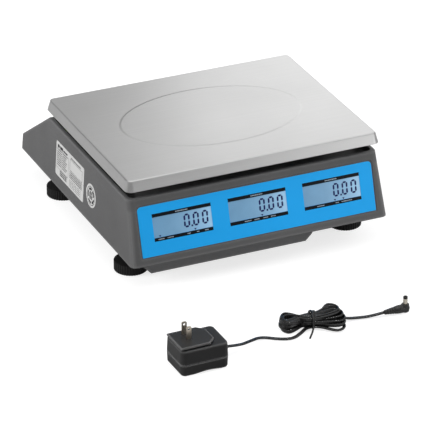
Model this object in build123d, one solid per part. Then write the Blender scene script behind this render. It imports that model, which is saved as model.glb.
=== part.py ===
from build123d import *
import math
import os

# Retail price scale with its mains adapter, in millimetres.
# X runs to the right as the customer sees it, Y runs from the customer to the operator, Z is up.
# The origin is on the counter, under the middle of the scale.

os.makedirs("parts", exist_ok=True)

# ---------------------------------------------------------------- case
CASE_LENGTH = 369.6          # bottom edge, customer side to operator side
CASE_WIDTH = 342.0           # bottom edge
BASE_Z = 36.5                # bottom edge of the upper housing
RIM_Z = 116.3                # top of the rim round the platter
SIDE_DRAFT = 3.6             # lean of the side and back walls, degrees
FRONT_SLOPE = 16.7           # lean of the customer face, degrees
CONSOLE_SLOPE = 34.4         # fall of the operator console, degrees
CONSOLE_RUN = 92.4           # in plan, from the ridge back to the rear bottom edge
WALL = 2.5                   # moulded wall
CORNER_R = 8.0
EDGE_R = 1.8
RIM_WIDTH = 5.0
TRAY_DEPTH = 12.0            # from the rim down to the deck
FIT = 0.3                    # gap between pieces that drop into each other

# ---------------------------------------------------------------- platter and its support
PLATTER_SHIFT = 0.43         # centre of the platter, behind the middle of the rim
PLATTER_LENGTH = 329.0       # flat top, along X
PLATTER_DEPTH = 254.6        # flat top, along Y
PLATTER_FLARE = 4.0          # how far the skirt leans out
PLATTER_SKIRT = 13.4
PLATTER_RISE = 25.2          # top of the platter above the rim
PLATTER_SHEET = 1.2
PLATTER_CORNER_R = 9.0
HEM_HEIGHT = 2.6
HEM_WIDTH = 1.2
RING_LENGTH = 119.0          # half axes of the pressed plateau, at its foot
RING_DEPTH = 80.0
RING_WIDTH = 3.0             # its sloping edge, in plan
RING_RISE = 0.45
RING_SEAT = 0.05             # its foot, below the flat top
STUD_R = 3.0                 # locating studs under the platter
STUD_LENGTH = 8.0
ARM_X = 108.0                # platter rests on the support here
ARM_Y = 74.0
ARM_WIDTH = 18.0
ARM_THICKNESS = 9.0
ARM_GAP = 1.7                # between the deck and the support
HUB_LENGTH = 120.0
HUB_DEPTH = 60.0
CUP_R = 12.0
CUSHION_R = 9.0
CUSHION_HEIGHT = 12.0
CUSHION_SEAT = 5.0           # depth of the cup that holds the cushion
STUD_CLEARANCE = 0.2
STUD_END_GAP = 1.5
CUSHION_CLEARANCE = 0.05

# ---------------------------------------------------------------- load cell
CELL_LENGTH = 130.0
CELL_WIDTH = 30.0
CELL_HEIGHT = 22.0
CELL_PAD = 30.0              # square pad at each end of the cell
CELL_LIFT = 7.5              # height of the pad under the fixed end
CELL_BORE_R = 7.0            # the two bores that make the bending beam
CELL_BORE_PITCH = 26.0
CELL_SCREW_R = 3.0
CELL_SCREW_HEAD_R = 5.0
CELL_SCREW_HEAD = 3.5
CELL_SCREW_PITCH = 14.0
CELL_SCREW_INSET = 8.0
CELL_SCREW_BITE = 7.0
STOP_GAP = 0.8               # overload stop below the free end
STOP_R = 2.5
STOP_SPACING = 20.0
CHASSIS_SHEET = 3.0
CHASSIS_SIDE_INSET = 13.0    # from the case's bottom edges
CHASSIS_FRONT_INSET = 52.8
CHASSIS_BACK_INSET = 66.8
CHASSIS_CORNER_R = 12.0
CHASSIS_HOLE_R = 22.0        # lightening holes
CHASSIS_HOLE_X = 96.0
CHASSIS_HOLE_AHEAD = 30.0
POST_HOLE_GAP = 6.0          # round the support's post, where it passes the deck

# ---------------------------------------------------------------- feet
FOOT_SIDE_INSET = 26.0       # from the case's bottom edges
FOOT_FRONT_INSET = 67.0
FOOT_BACK_INSET = 81.6
WHEEL_R = 21.0
WHEEL_TOP_Z = 13.0
WHEEL_BOTTOM_Z = 0.6
WHEEL_TEETH = 40
TOOTH_DEPTH = 0.8
PAD_R = 17.0
PAD_HEIGHT = 3.5
PIVOT_R = 4.0
PIVOT_TOP_Z = 9.0
PIVOT_CLEARANCE = 0.05
THREAD_R = 4.0               # levelling thread, drawn smooth
THREAD_CLEARANCE = 0.05
THREAD_REACH = 15.5          # above the case's bottom edge
BOSS_R = 12.0
BOSS_DROP = 16.0             # below the case's bottom edge

# ---------------------------------------------------------------- lower housing
PLATE = 3.0
BELLY_LEFT_INSET = 16.0      # from the case's bottom edges
BELLY_RIGHT_INSET = 103.0
BELLY_FRONT_INSET = 1.0
BELLY_BACK_INSET = 42.8
BELLY_DEPTH = 11.0
BELLY_CHAMFER = 9.0
RIB = 2.5
RIB_PITCH = 46.0
SCREW_SIDE_INSET = 21.0      # from the case's bottom edges
SCREW_FRONT_INSET = 36.8
SCREW_CREST_INSET = 32.4     # ahead of the ridge
SCREW_BOSS_R = 4.2
SCREW_R = 1.5
SCREW_HEAD_R = 3.2
SCREW_HEAD = 2.0
SCREW_SUNK = 1.0             # top of the head, above the case's bottom edge
SCREW_BITE = 9.0
SCREW_CLEARANCE = 0.05

# ---------------------------------------------------------------- battery
BATTERY_LENGTH = 106.0
BATTERY_DEPTH = 70.0
BATTERY_HEIGHT = 47.0
BATTERY_CREST_INSET = 18.4   # its middle, ahead of the ridge
BATTERY_CORNER = 2.0
TERMINAL = 6.0
TERMINAL_RISE = 6.0
TERMINAL_INSET = 12.0
TERMINAL_PITCH = 18.0
BATTERY_GAP = 0.6
BAY_WALL = 2.0
BAY_RISE = 21.5              # above the case's bottom edge
DOOR_GAP = 0.35
FINGER_LENGTH = 24.0         # finger recess of the battery door
FINGER_DEPTH = 8.0
FINGER_SUNK = 1.0
FINGER_INSET = 4.0

# ---------------------------------------------------------------- displays and boards
OVERLAY_FILM = 0.5
OVERLAY_END = 15.3           # from the case's ends to the customer overlay's
OVERLAY_HEIGHT = 62.3
OVERLAY_FOOT = 10.4          # from the case's bottom edge, up the slope
OVERLAY_R = 5.0              # upper corners
OVERLAY_LOWER_R = 1.0
OVERLAY_MARGIN = 1.6         # recess round the film
WINDOW_END = 17.75           # from the overlay's ends to the outer windows
WINDOW_GAP = 22.6            # between two windows
WINDOW_HEIGHT = 25.4
CUSTOMER_WINDOW_UP = 34.2    # window centre above the overlay's lower edge
LENS_MARGIN = 2.0            # glass behind the overlay, beyond the window
MODULE_MARGIN = 4.0
MODULE_DEPTH = 5.4           # behind the wall
BOARD = 1.6
BOARD_END = 21.0             # from the case's ends to the boards'
CUSTOMER_BOARD_HEIGHT = 46.0
BOARD_POST = 5.2             # square posts that carry the boards
BOARD_POST_INSET = 3.0
OPERATOR_WINDOW_DOWN = 24.0  # window centre below the crest, down the console
CONSOLE_FILM_END = 18.0
CONSOLE_FILM_TOP = 4.0       # below the ridge
CONSOLE_FILM_FOOT = 7.7      # above the console's lower edge
MAIN_BOARD_TOP = 7.0
MAIN_BOARD_FOOT = 7.7

HEADER_LENGTH = 24.0         # connector on the back of each board
HEADER_DEPTH = 7.0
HEADER_RISE = 6.0
HEADER_INSET = 20.0
CHIP = 18.0
CHIP_RISE = 2.4
CHIP_X = 30.0

# ---------------------------------------------------------------- keys
KEY_LENGTH = 24.0
KEY_HEIGHT = 10.6
WIDE_KEY_LENGTH = 34.0
KEY_RISE = 2.6               # above the film
KEY_TRAVEL = 1.2
KEY_GAP = 0.35
KEY_CORNER = 1.2
KEY_BEVEL = 0.8
KEY_FLANGE = 1.2
KEY_LIP = 1.4                # flange that holds the key behind the wall
KEY_ROW_PITCH = 14.2
KEY_FIRST_ROW = 52.6         # below the crest, down the console
KEY_END = 31.0               # last column, from the console film's end
KEY_PITCH = 30.0
WIDE_KEY_PITCH = 38.0        # from the first column to the wide keys
KEY_REST_GAP = 0.05          # between a resting key and the wall or the mat
MAT_SHEET = 1.6
MAT_MARGIN = 2.0
PLUNGER_LENGTH = 9.0         # block on the mat under each key
PLUNGER_HEIGHT = 6.0

# ---------------------------------------------------------------- power switch, jack, bubble level, labels
SWITCH_Y = 18.0
SWITCH_RISE = 31.5           # above the case's bottom edge
SWITCH_LENGTH = 22.0
SWITCH_HEIGHT = 15.0
SWITCH_BEZEL = 2.0
SWITCH_DEPTH = 15.0
SWITCH_CORNER_R = 1.5
ROCKER_LENGTH = 14.0
ROCKER_WIDTH = 10.4
ROCKER_TILT = 9.0            # to each side, degrees
ROCKER_GAP = 1.1
ROCKER_PIN_R = 1.2
ROCKER_PIN_CLEARANCE = 0.05
ROCKER_DEPTH = 3.0           # pin below the bezel's face
JACK_Y = 44.0
JACK_RISE = 31.5
JACK_NOSE_R = 4.4
JACK_BORE_R = 3.1
JACK_BORE_DEPTH = 10.0
JACK_PIN_R = 1.05
JACK_DEPTH = 14.0
JACK_WIDTH = 11.0
LEVEL_SIDE_INSET = 18.0      # from the tray's walls
LEVEL_BACK_INSET = 15.4
LEVEL_R = 8.0
LEVEL_CLEARANCE = 0.05
LEVEL_DEPTH = 7.0
LEVEL_FLANGE_R = 9.6
LEVEL_FLANGE = 1.0
LABEL_FILM = 0.2
LABEL_Y = 18.4
LABEL_RISE = 39.1            # above the case's bottom edge
LABEL_LENGTH = 91.0
LABEL_HEIGHT = 46.0
LABEL_R = 3.0
SEAL_Y = -51.0
SEAL_RISE = 36.7
SEAL_R = 15.2

# ---------------------------------------------------------------- mains adapter, standing in front
ADAPTER_X = -165.6
ADAPTER_Y = -363.6
ADAPTER_TURN = 1.0
ADAPTER_LENGTH = 60.5
ADAPTER_DEPTH = 47.5
ADAPTER_SPLIT_Z = 14.4
ADAPTER_TOP_Z = 32.4
ADAPTER_TAPER = 2.4          # of both shells, away from the seam, degrees
ADAPTER_R = 6.5
ADAPTER_TOP_R = 1.6
ADAPTER_FOOT_R = 3.0
ADAPTER_SEAM = 0.6           # bevel of each shell at the seam
ADAPTER_ARCH = 2.6           # hollow of the underside between its two ends
SLIDE_INSET = 0.6            # plug plate's left edge, from the shell's
SLIDE_LENGTH = 45.5
SLIDE_DEPTH = 40.5
SLIDE_THICKNESS = 2.4
SLIDE_CUT = 9.0
SLIDE_RUNNER = 1.7
SLIDE_RUNNER_INSET = 2.5
BLADE_SPACING = 12.7
BLADE_WIDTH = 6.35
BLADE_THICKNESS = 1.5
BLADE_LENGTH = 16.4
BLADE_HOLE_R = 1.55
BLADE_HOLE_DOWN = 3.6
BLADE_X = -12.0
BLADE_Y = 4.0
RELIEF_LENGTH = 8.0
RELIEF_R = 3.8
RELIEF_TIP_R = 2.7
RELIEF_Z = 13.4
CORD_R = 1.8
PLUG_X = 109.3
PLUG_Y = -352.5
PLUG_R = 5.4
PLUG_TOP_Z = 11.5
PLUG_RELIEF_WALL = 1.4       # where the cord goes in
BARREL_R = 2.75
BARREL_BORE_R = 1.25
BARREL_SLEEVE = 7.0
BARREL_TIP = 2.6


CREST_Y = CASE_LENGTH / 2 - CONSOLE_RUN
BELLY_LEFT = BELLY_LEFT_INSET - CASE_WIDTH / 2
BELLY_RIGHT = CASE_WIDTH / 2 - BELLY_RIGHT_INSET
BELLY_BACK = CASE_LENGTH / 2 - BELLY_BACK_INSET
BELLY_BOTTOM_Z = BASE_Z - BELLY_DEPTH
BAY_TOP_Z = BASE_Z + BAY_RISE
BATTERY_Y = CREST_Y - BATTERY_CREST_INSET
PLATTER_TOP_Z = RIM_Z + PLATTER_RISE
OVERLAY_LENGTH = CASE_WIDTH - 2 * OVERLAY_END
WINDOW_LENGTH = (OVERLAY_LENGTH - 2 * WINDOW_END - 2 * WINDOW_GAP) / 3
DISPLAY_PITCH = WINDOW_LENGTH + WINDOW_GAP
BOARD_LENGTH = CASE_WIDTH - 2 * BOARD_END
CONSOLE_FILM_LENGTH = CASE_WIDTH - 2 * CONSOLE_FILM_END


def lean(z):
    """How far a drafted wall has come in at height z."""
    return (z - BASE_Z) * math.tan(math.radians(SIDE_DRAFT))


def half_width(z):
    return CASE_WIDTH / 2 - lean(z)


def front_y(z):
    return -CASE_LENGTH / 2 + (z - BASE_Z) * math.tan(math.radians(FRONT_SLOPE))


def console_z(y):
    return RIM_Z - (y - CREST_Y) * math.tan(math.radians(CONSOLE_SLOPE))


def box(x0, x1, y0, y1, z0, z1):
    return Pos((x0 + x1) / 2, (y0 + y1) / 2, (z0 + z1) / 2) * Box(x1 - x0, y1 - y0, z1 - z0)


def rod(x, y, z0, z1, radius):
    return Pos(x, y, (z0 + z1) / 2) * Cylinder(radius, z1 - z0)


def side_profile(points, half):
    """A prism along X from a closed outline in Y and Z."""
    return extrude(make_face(Plane.YZ * Polyline(*points, close=True)), amount=half, both=True)


def front_profile(points, half):
    """A prism along Y from a closed outline in X and Z."""
    return extrude(make_face(Plane.XZ * Polyline(*points, close=True)), amount=half, both=True)


def on(frame, x, y, z, length, height, depth, upper=0.0, lower=0.0):
    """A flat slab on a working plane. Its outer face is at z, it goes depth inwards, and its upper and lower
    corners have their own radii."""
    outline = Rectangle(length, height)
    for row, radius in ((0, lower), (-1, upper)):
        if radius:
            outline = fillet(outline.vertices().group_by(Axis.Y)[row], radius)
    return frame * (Pos(x, y, z - depth) * extrude(outline, depth))


def peg(frame, x, y, z, radius, depth):
    return frame * (Pos(x, y, z - depth / 2) * Cylinder(radius, depth))


def plane_on(point, across, outward):
    return Plane(origin=point, x_dir=across, z_dir=outward)


f = math.radians(FRONT_SLOPE)
c = math.radians(CONSOLE_SLOPE)
d = math.radians(SIDE_DRAFT)
DECK_Z = RIM_Z - TRAY_DEPTH
RIM_FRONT_Y = front_y(RIM_Z)
BACK_Y = CASE_LENGTH / 2
PLATTER_Y = (RIM_FRONT_Y + CREST_Y) / 2 + PLATTER_SHIFT


def console_foot(console_in, back_in):
    """Height of the edge where the console meets the back wall, with both moved inwards."""
    run = BACK_Y - back_in - CREST_Y + BASE_Z * math.tan(d)
    return (RIM_Z - console_in - run * math.tan(c)) / (1 - math.tan(d) * math.tan(c))


CONSOLE_LENGTH = (RIM_Z - console_foot(0, 0)) / math.sin(c)
CONSOLE_FILM_BOTTOM = CONSOLE_LENGTH - CONSOLE_FILM_FOOT
MAIN_BOARD_BOTTOM = CONSOLE_LENGTH - MAIN_BOARD_FOOT
TRAY_FRONT = RIM_FRONT_Y + RIM_WIDTH
TRAY_BACK = CREST_Y - RIM_WIDTH
TRAY_HALF = half_width(RIM_Z) - RIM_WIDTH
LEVEL_X = LEVEL_SIDE_INSET - TRAY_HALF
LEVEL_Y = TRAY_BACK - LEVEL_BACK_INSET

# Working planes: local x to the viewer's right, local y up the face, local z out of the case.
customer_face = plane_on((0, -CASE_LENGTH / 2, BASE_Z), (1, 0, 0), (0, -math.cos(f), math.sin(f)))
console_face = plane_on((0, CREST_Y, RIM_Z), (-1, 0, 0), (0, math.sin(c), math.cos(c)))
right_face = plane_on((CASE_WIDTH / 2, 0, BASE_Z), (0, 1, 0), (math.cos(d), 0, math.sin(d)))
left_face = plane_on((-CASE_WIDTH / 2, 0, BASE_Z), (0, -1, 0), (-math.cos(d), 0, math.sin(d)))

window_y = OVERLAY_FOOT + CUSTOMER_WINDOW_UP
display_xs = [-DISPLAY_PITCH, 0.0, DISPLAY_PITCH]
foot_x = CASE_WIDTH / 2 - FOOT_SIDE_INSET
foot_front = FOOT_FRONT_INSET - CASE_LENGTH / 2
foot_back = CASE_LENGTH / 2 - FOOT_BACK_INSET
feet = {
    "front_left": (-foot_x, foot_front),
    "front_right": (foot_x, foot_front),
    "back_left": (-foot_x, foot_back),
    "back_right": (foot_x, foot_back),
}
screw_x = CASE_WIDTH / 2 - SCREW_SIDE_INSET
screw_ys = (SCREW_FRONT_INSET - CASE_LENGTH / 2, CREST_Y - SCREW_CREST_INSET)
case_screws = [(x, y) for x in (-screw_x, screw_x) for y in screw_ys]

# Keys: name, place across the console and down it, and length. Numbers, clear and point, then four commands.
last_column = CONSOLE_FILM_LENGTH / 2 - KEY_END
key_columns = [last_column - KEY_PITCH * (2 - i) for i in range(3)]
wide_column = key_columns[0] - WIDE_KEY_PITCH
keys = []
for row, names in enumerate(("789", "456", "123", "c0p")):
    for column, name in enumerate(names):
        label = {"c": "clear", "p": "point"}.get(name, name)
        keys.append((f"key_{label}", key_columns[column], KEY_FIRST_ROW + row * KEY_ROW_PITCH, KEY_LENGTH))
for row, name in enumerate(("zero", "tare", "add", "total")):
    keys.append((f"key_{name}", wide_column, KEY_FIRST_ROW + row * KEY_ROW_PITCH, WIDE_KEY_LENGTH))

# Depths behind the console's outer face
flange_top = WALL + KEY_REST_GAP
flange_bottom = flange_top + KEY_FLANGE
board_front = WALL + MODULE_DEPTH


# ---------------------------------------------------------------- upper housing
def case_block(inset, top_z, floor_z):
    """The case's outer form, with every wall moved inwards by inset."""
    slope_in = inset / math.cos(f)
    back_in = inset / math.cos(d)
    console_in = inset / math.cos(c)
    front_at = lambda z: front_y(z) + slope_in
    back_at = lambda z: BACK_Y - lean(z) - back_in
    console_at = lambda z: CREST_Y + (RIM_Z - console_in - z) / math.tan(c)
    foot_z = console_foot(console_in, back_in)
    outline = [
        (front_at(floor_z), floor_z),
        (front_at(top_z), top_z),
        (console_at(top_z), top_z),
        (back_at(foot_z), foot_z),
        (back_at(floor_z), floor_z),
    ]
    width = [
        (-half_width(floor_z) + back_in, floor_z),
        (-half_width(top_z) + back_in, top_z),
        (half_width(top_z) - back_in, top_z),
        (half_width(floor_z) - back_in, floor_z),
    ]
    return side_profile(outline, CASE_WIDTH) & front_profile(width, CASE_LENGTH)


def make_upper_housing():
    body = case_block(0, RIM_Z, BASE_Z)
    upright = [e for e in body.edges() if abs(e.tangent_at(0.5).Z) > 0.7]
    body = fillet(upright, CORNER_R)
    soft = [e for e in body.edges() if e.center().Z > BASE_Z + 1 and abs(e.tangent_at(0.5).Z) < 0.7]
    body = fillet(soft, EDGE_R)
    tray = extrude(RectangleRounded(2 * TRAY_HALF, TRAY_BACK - TRAY_FRONT, CORNER_R - 2), TRAY_DEPTH + 1)
    body -= Pos(0, (TRAY_FRONT + TRAY_BACK) / 2, DECK_Z) * tray
    # Inside: one space under the deck, and one behind the tray's back wall under the crest
    body -= case_block(WALL, DECK_Z - WALL, BASE_Z - 1)
    crest = case_block(WALL, RIM_Z - WALL, BASE_Z - 1)
    body -= crest & box(-CASE_WIDTH, CASE_WIDTH, TRAY_BACK + WALL, CASE_LENGTH, BASE_Z, RIM_Z)
    # Recess for the customer overlay, display openings in both faces
    body -= on(customer_face, 0, OVERLAY_FOOT + OVERLAY_HEIGHT / 2, 1, OVERLAY_LENGTH + 2 * OVERLAY_MARGIN,
               OVERLAY_HEIGHT + 2 * OVERLAY_MARGIN, 1 + OVERLAY_FILM, OVERLAY_R, OVERLAY_LOWER_R)
    opening = (WINDOW_LENGTH + 2 * LENS_MARGIN + 2 * FIT, WINDOW_HEIGHT + 2 * LENS_MARGIN + 2 * FIT)
    for x in display_xs:
        body -= on(customer_face, x, window_y, 1, *opening, WALL + 3)
        body -= on(console_face, x, -OPERATOR_WINDOW_DOWN, 1, *opening, WALL + 3)
    for name, x, down, length in keys:
        body -= on(console_face, x, -down, 1, length + 2 * KEY_GAP, KEY_HEIGHT + 2 * KEY_GAP, WALL + 3)
    # Way through the deck for the support's post, and the seat of the bubble level
    post_half = CELL_PAD / 2 + POST_HOLE_GAP
    body -= box(cell_free_x - post_half, cell_free_x + post_half, PLATTER_Y - post_half,
                PLATTER_Y + post_half, DECK_Z - WALL - 1, DECK_Z + 1)
    body -= rod(LEVEL_X, LEVEL_Y, DECK_Z - WALL - 1, DECK_Z + 1, LEVEL_R + LEVEL_CLEARANCE)
    # Right-hand wall: power switch and jack
    body -= on(right_face, SWITCH_Y, switch_up, 1, SWITCH_LENGTH - 2, SWITCH_HEIGHT - 2, WALL + 4)
    body -= peg(right_face, JACK_Y, jack_up, 1, JACK_NOSE_R + 0.05, WALL + 4)
    # Bosses: four for the case screws, four that carry each board
    for x, y in case_screws:
        body += rod(x, y, BASE_Z + PLATE, DECK_Z - WALL, SCREW_BOSS_R)
        body -= rod(x, y, BASE_Z, BASE_Z + PLATE + SCREW_BITE + 1, SCREW_R + SCREW_CLEARANCE)
    for x in (BOARD_POST_INSET - BOARD_LENGTH / 2, BOARD_LENGTH / 2 - BOARD_POST_INSET):
        for y in (-1, 1):
            reach = MODULE_DEPTH + 0.01
            up = window_y + y * (CUSTOMER_BOARD_HEIGHT / 2 - 5)
            body += on(customer_face, x, up, 0.01 - WALL, BOARD_POST, BOARD_POST, reach)
        for down in (MAIN_BOARD_TOP + 6, MAIN_BOARD_BOTTOM - 7):
            body += on(console_face, x, -down, 0.01 - WALL, BOARD_POST, BOARD_POST, reach)
    return body


# ---------------------------------------------------------------- lower housing, its screws, battery and door
bay_half_x = BATTERY_LENGTH / 2 + BATTERY_GAP
bay_half_y = BATTERY_DEPTH / 2 + BATTERY_GAP
belly_front = BELLY_FRONT_INSET - CASE_LENGTH / 2
screw_head_top = BASE_Z + SCREW_SUNK


def make_lower_housing():
    top_z = BASE_Z + PLATE
    plate = case_block(WALL + FIT, top_z, BASE_Z)
    corners = [e for e in plate.edges() if abs(e.tangent_at(0.5).Z) > 0.7]
    body = fillet(corners, CORNER_R - WALL)
    belly = box(BELLY_LEFT, BELLY_RIGHT, belly_front, BELLY_BACK, BELLY_BOTTOM_Z, BASE_Z)
    ends = [e for e in belly.edges().filter_by(Axis.Y) if e.center().Z < BASE_Z - 1]
    ends += [e for e in belly.edges().filter_by(Axis.X) if e.center().Z < BASE_Z - 1 and e.center().Y > 0]
    body += chamfer(ends, BELLY_CHAMFER)
    # Ribbed inside: square cells between ribs, apart from the battery bay
    floor_z = BELLY_BOTTOM_Z + WALL
    left = BELLY_LEFT + BELLY_CHAMFER + WALL
    right = BELLY_RIGHT - BELLY_CHAMFER - WALL
    front = belly_front + WALL + 2
    back = BELLY_BACK - BELLY_CHAMFER - WALL
    columns = int((right - left) // RIB_PITCH)
    rows = int((back - front) // RIB_PITCH)
    cell_x = (right - left + RIB) / columns
    cell_y = (back - front + RIB) / rows
    keep_off = box(-bay_half_x - RIB, bay_half_x + RIB, BATTERY_Y - bay_half_y - RIB,
                   BATTERY_Y + bay_half_y + RIB, 0, RIM_Z)
    cells = Part()
    for i in range(columns):
        for j in range(rows):
            x0 = left + i * cell_x
            y0 = front + j * cell_y
            cells += box(x0, x0 + cell_x - RIB, y0, y0 + cell_y - RIB, floor_z, top_z + 1)
    cells -= keep_off
    for x, y in list(feet.values()) + case_screws:
        cells -= rod(x, y, 0, RIM_Z, BOSS_R + 1)
    body -= cells
    # Battery bay: walls that stand above the plate, open below where the door closes it
    wall_x = bay_half_x + BAY_WALL
    wall_y = bay_half_y + BAY_WALL
    body += box(-wall_x, wall_x, BATTERY_Y - wall_y, BATTERY_Y + wall_y, BELLY_BOTTOM_Z, BAY_TOP_Z)
    body -= box(-bay_half_x, bay_half_x, BATTERY_Y - bay_half_y, BATTERY_Y + bay_half_y, 0, BAY_TOP_Z + 1)
    for x, y in feet.values():
        body += rod(x, y, BASE_Z - BOSS_DROP, BASE_Z, BOSS_R)
        body -= rod(x, y, 0, RIM_Z, THREAD_R)
    for x, y in case_screws:
        body -= rod(x, y, 0, RIM_Z, SCREW_R + SCREW_CLEARANCE)
        body -= rod(x, y, 0, screw_head_top, SCREW_HEAD_R + SCREW_CLEARANCE)
    return body


def make_housing_screws():
    screws = Part()
    for x, y in case_screws:
        screws += rod(x, y, screw_head_top - SCREW_HEAD, screw_head_top, SCREW_HEAD_R)
        screws += rod(x, y, screw_head_top, BASE_Z + PLATE + SCREW_BITE, SCREW_R)
    return screws


def make_battery_door():
    half_x = bay_half_x - DOOR_GAP
    half_y = bay_half_y - DOOR_GAP
    door = box(-half_x, half_x, BATTERY_Y - half_y, BATTERY_Y + half_y, BELLY_BOTTOM_Z, BELLY_BOTTOM_Z + WALL)
    front = BATTERY_Y - half_y + FINGER_INSET
    finger = box(-FINGER_LENGTH / 2, FINGER_LENGTH / 2, front, front + FINGER_DEPTH, BELLY_BOTTOM_Z - 1,
                 BELLY_BOTTOM_Z + FINGER_SUNK)
    return door - finger


def make_battery():
    base = BELLY_BOTTOM_Z + WALL
    cell = box(-BATTERY_LENGTH / 2, BATTERY_LENGTH / 2, BATTERY_Y - BATTERY_DEPTH / 2,
               BATTERY_Y + BATTERY_DEPTH / 2, base, base + BATTERY_HEIGHT)
    cell = chamfer(cell.edges().filter_by(Axis.Z), BATTERY_CORNER)
    first = TERMINAL_INSET - BATTERY_LENGTH / 2
    half = TERMINAL / 2
    for x in (first, first + TERMINAL_PITCH):
        cell += box(x - half, x + half, BATTERY_Y - half, BATTERY_Y + half, base + BATTERY_HEIGHT / 2,
                    base + BATTERY_HEIGHT + TERMINAL_RISE)
    return cell


# ---------------------------------------------------------------- weighing parts
chassis_top = BASE_Z + PLATE + CHASSIS_SHEET
cell_bottom = chassis_top + CELL_LIFT
cell_top = cell_bottom + CELL_HEIGHT
cell_fixed_x = -CELL_LENGTH / 2 + CELL_PAD / 2
cell_free_x = CELL_LENGTH / 2 - CELL_PAD / 2
support_z = DECK_Z + ARM_GAP
platter_inside_z = PLATTER_TOP_Z - PLATTER_SHEET
cushion_bottom = platter_inside_z - CUSHION_HEIGHT
arm_points = [(x, PLATTER_Y + y) for x in (-ARM_X, ARM_X) for y in (-ARM_Y, ARM_Y)]


def cell_screw_xs(end_x):
    return (end_x - CELL_SCREW_PITCH / 2, end_x + CELL_SCREW_PITCH / 2)


def make_chassis():
    base = BASE_Z + PLATE
    half = CASE_WIDTH / 2 - CHASSIS_SIDE_INSET
    plate = box(-half, half, CHASSIS_FRONT_INSET - CASE_LENGTH / 2, CASE_LENGTH / 2 - CHASSIS_BACK_INSET,
                base, chassis_top)
    plate = fillet(plate.edges().filter_by(Axis.Z), CHASSIS_CORNER_R)
    bay_x = bay_half_x + BAY_WALL + 3
    bay_y = BATTERY_Y - bay_half_y - BAY_WALL - 3
    plate -= box(-bay_x, bay_x, bay_y, CASE_LENGTH, 0, RIM_Z)
    for x in (-CHASSIS_HOLE_X, CHASSIS_HOLE_X):
        plate -= rod(x, PLATTER_Y - CHASSIS_HOLE_AHEAD, 0, RIM_Z, CHASSIS_HOLE_R)
    plate += box(cell_fixed_x - CELL_PAD / 2, cell_fixed_x + CELL_PAD / 2, PLATTER_Y - CELL_WIDTH / 2,
                 PLATTER_Y + CELL_WIDTH / 2, base, cell_bottom)
    for x in cell_screw_xs(cell_fixed_x):
        plate -= rod(x, PLATTER_Y, cell_bottom - CELL_SCREW_BITE, cell_bottom + 1, CELL_SCREW_R)
    for y in (-STOP_SPACING / 2, STOP_SPACING / 2):
        plate -= rod(cell_free_x, PLATTER_Y + y, 0, RIM_Z, STOP_R)
    for x, y in feet.values():
        plate -= rod(x, y, 0, RIM_Z, THREAD_R)
    for x, y in case_screws:
        plate -= rod(x, y, 0, RIM_Z, SCREW_BOSS_R + 1)
    return plate


def make_load_cell():
    """A single point cell: a bar with two joined bores, so that it bends like a parallelogram."""
    bar = box(-CELL_LENGTH / 2, CELL_LENGTH / 2, PLATTER_Y - CELL_WIDTH / 2, PLATTER_Y + CELL_WIDTH / 2,
              cell_bottom, cell_top)
    middle = (cell_bottom + cell_top) / 2
    across = Rot(90, 0, 0) * Cylinder(CELL_BORE_R, CELL_WIDTH + 2)
    for x in (-CELL_BORE_PITCH / 2, CELL_BORE_PITCH / 2):
        bar -= Pos(x, PLATTER_Y, middle) * across
    bar -= Pos(0, PLATTER_Y, middle) * Box(CELL_BORE_PITCH, CELL_WIDTH + 2, CELL_BORE_R)
    for end_x in (cell_fixed_x, cell_free_x):
        for x in cell_screw_xs(end_x):
            bar -= rod(x, PLATTER_Y, cell_bottom - 1, cell_top + 1, CELL_SCREW_R + 0.2)
    return bar


def make_base_screws():
    screws = Part()
    for x in cell_screw_xs(cell_fixed_x):
        screws += rod(x, PLATTER_Y, cell_top, cell_top + CELL_SCREW_HEAD, CELL_SCREW_HEAD_R)
        screws += rod(x, PLATTER_Y, cell_bottom - CELL_SCREW_BITE, cell_top, CELL_SCREW_R)
    return screws


def make_support_screws():
    screws = Part()
    for x in cell_screw_xs(cell_free_x):
        screws += rod(x, PLATTER_Y, cell_bottom - CELL_SCREW_HEAD, cell_bottom, CELL_SCREW_HEAD_R)
        screws += rod(x, PLATTER_Y, cell_bottom, cell_top + CELL_SCREW_BITE, CELL_SCREW_R)
    return screws


def make_overload_stops():
    stops = Part()
    for y in (-STOP_SPACING / 2, STOP_SPACING / 2):
        stops += rod(cell_free_x, PLATTER_Y + y, BASE_Z + PLATE, cell_bottom - STOP_GAP, STOP_R)
        stops += rod(cell_free_x, PLATTER_Y + y, chassis_top, chassis_top + 2, STOP_R + 1.8)
    return stops


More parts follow.
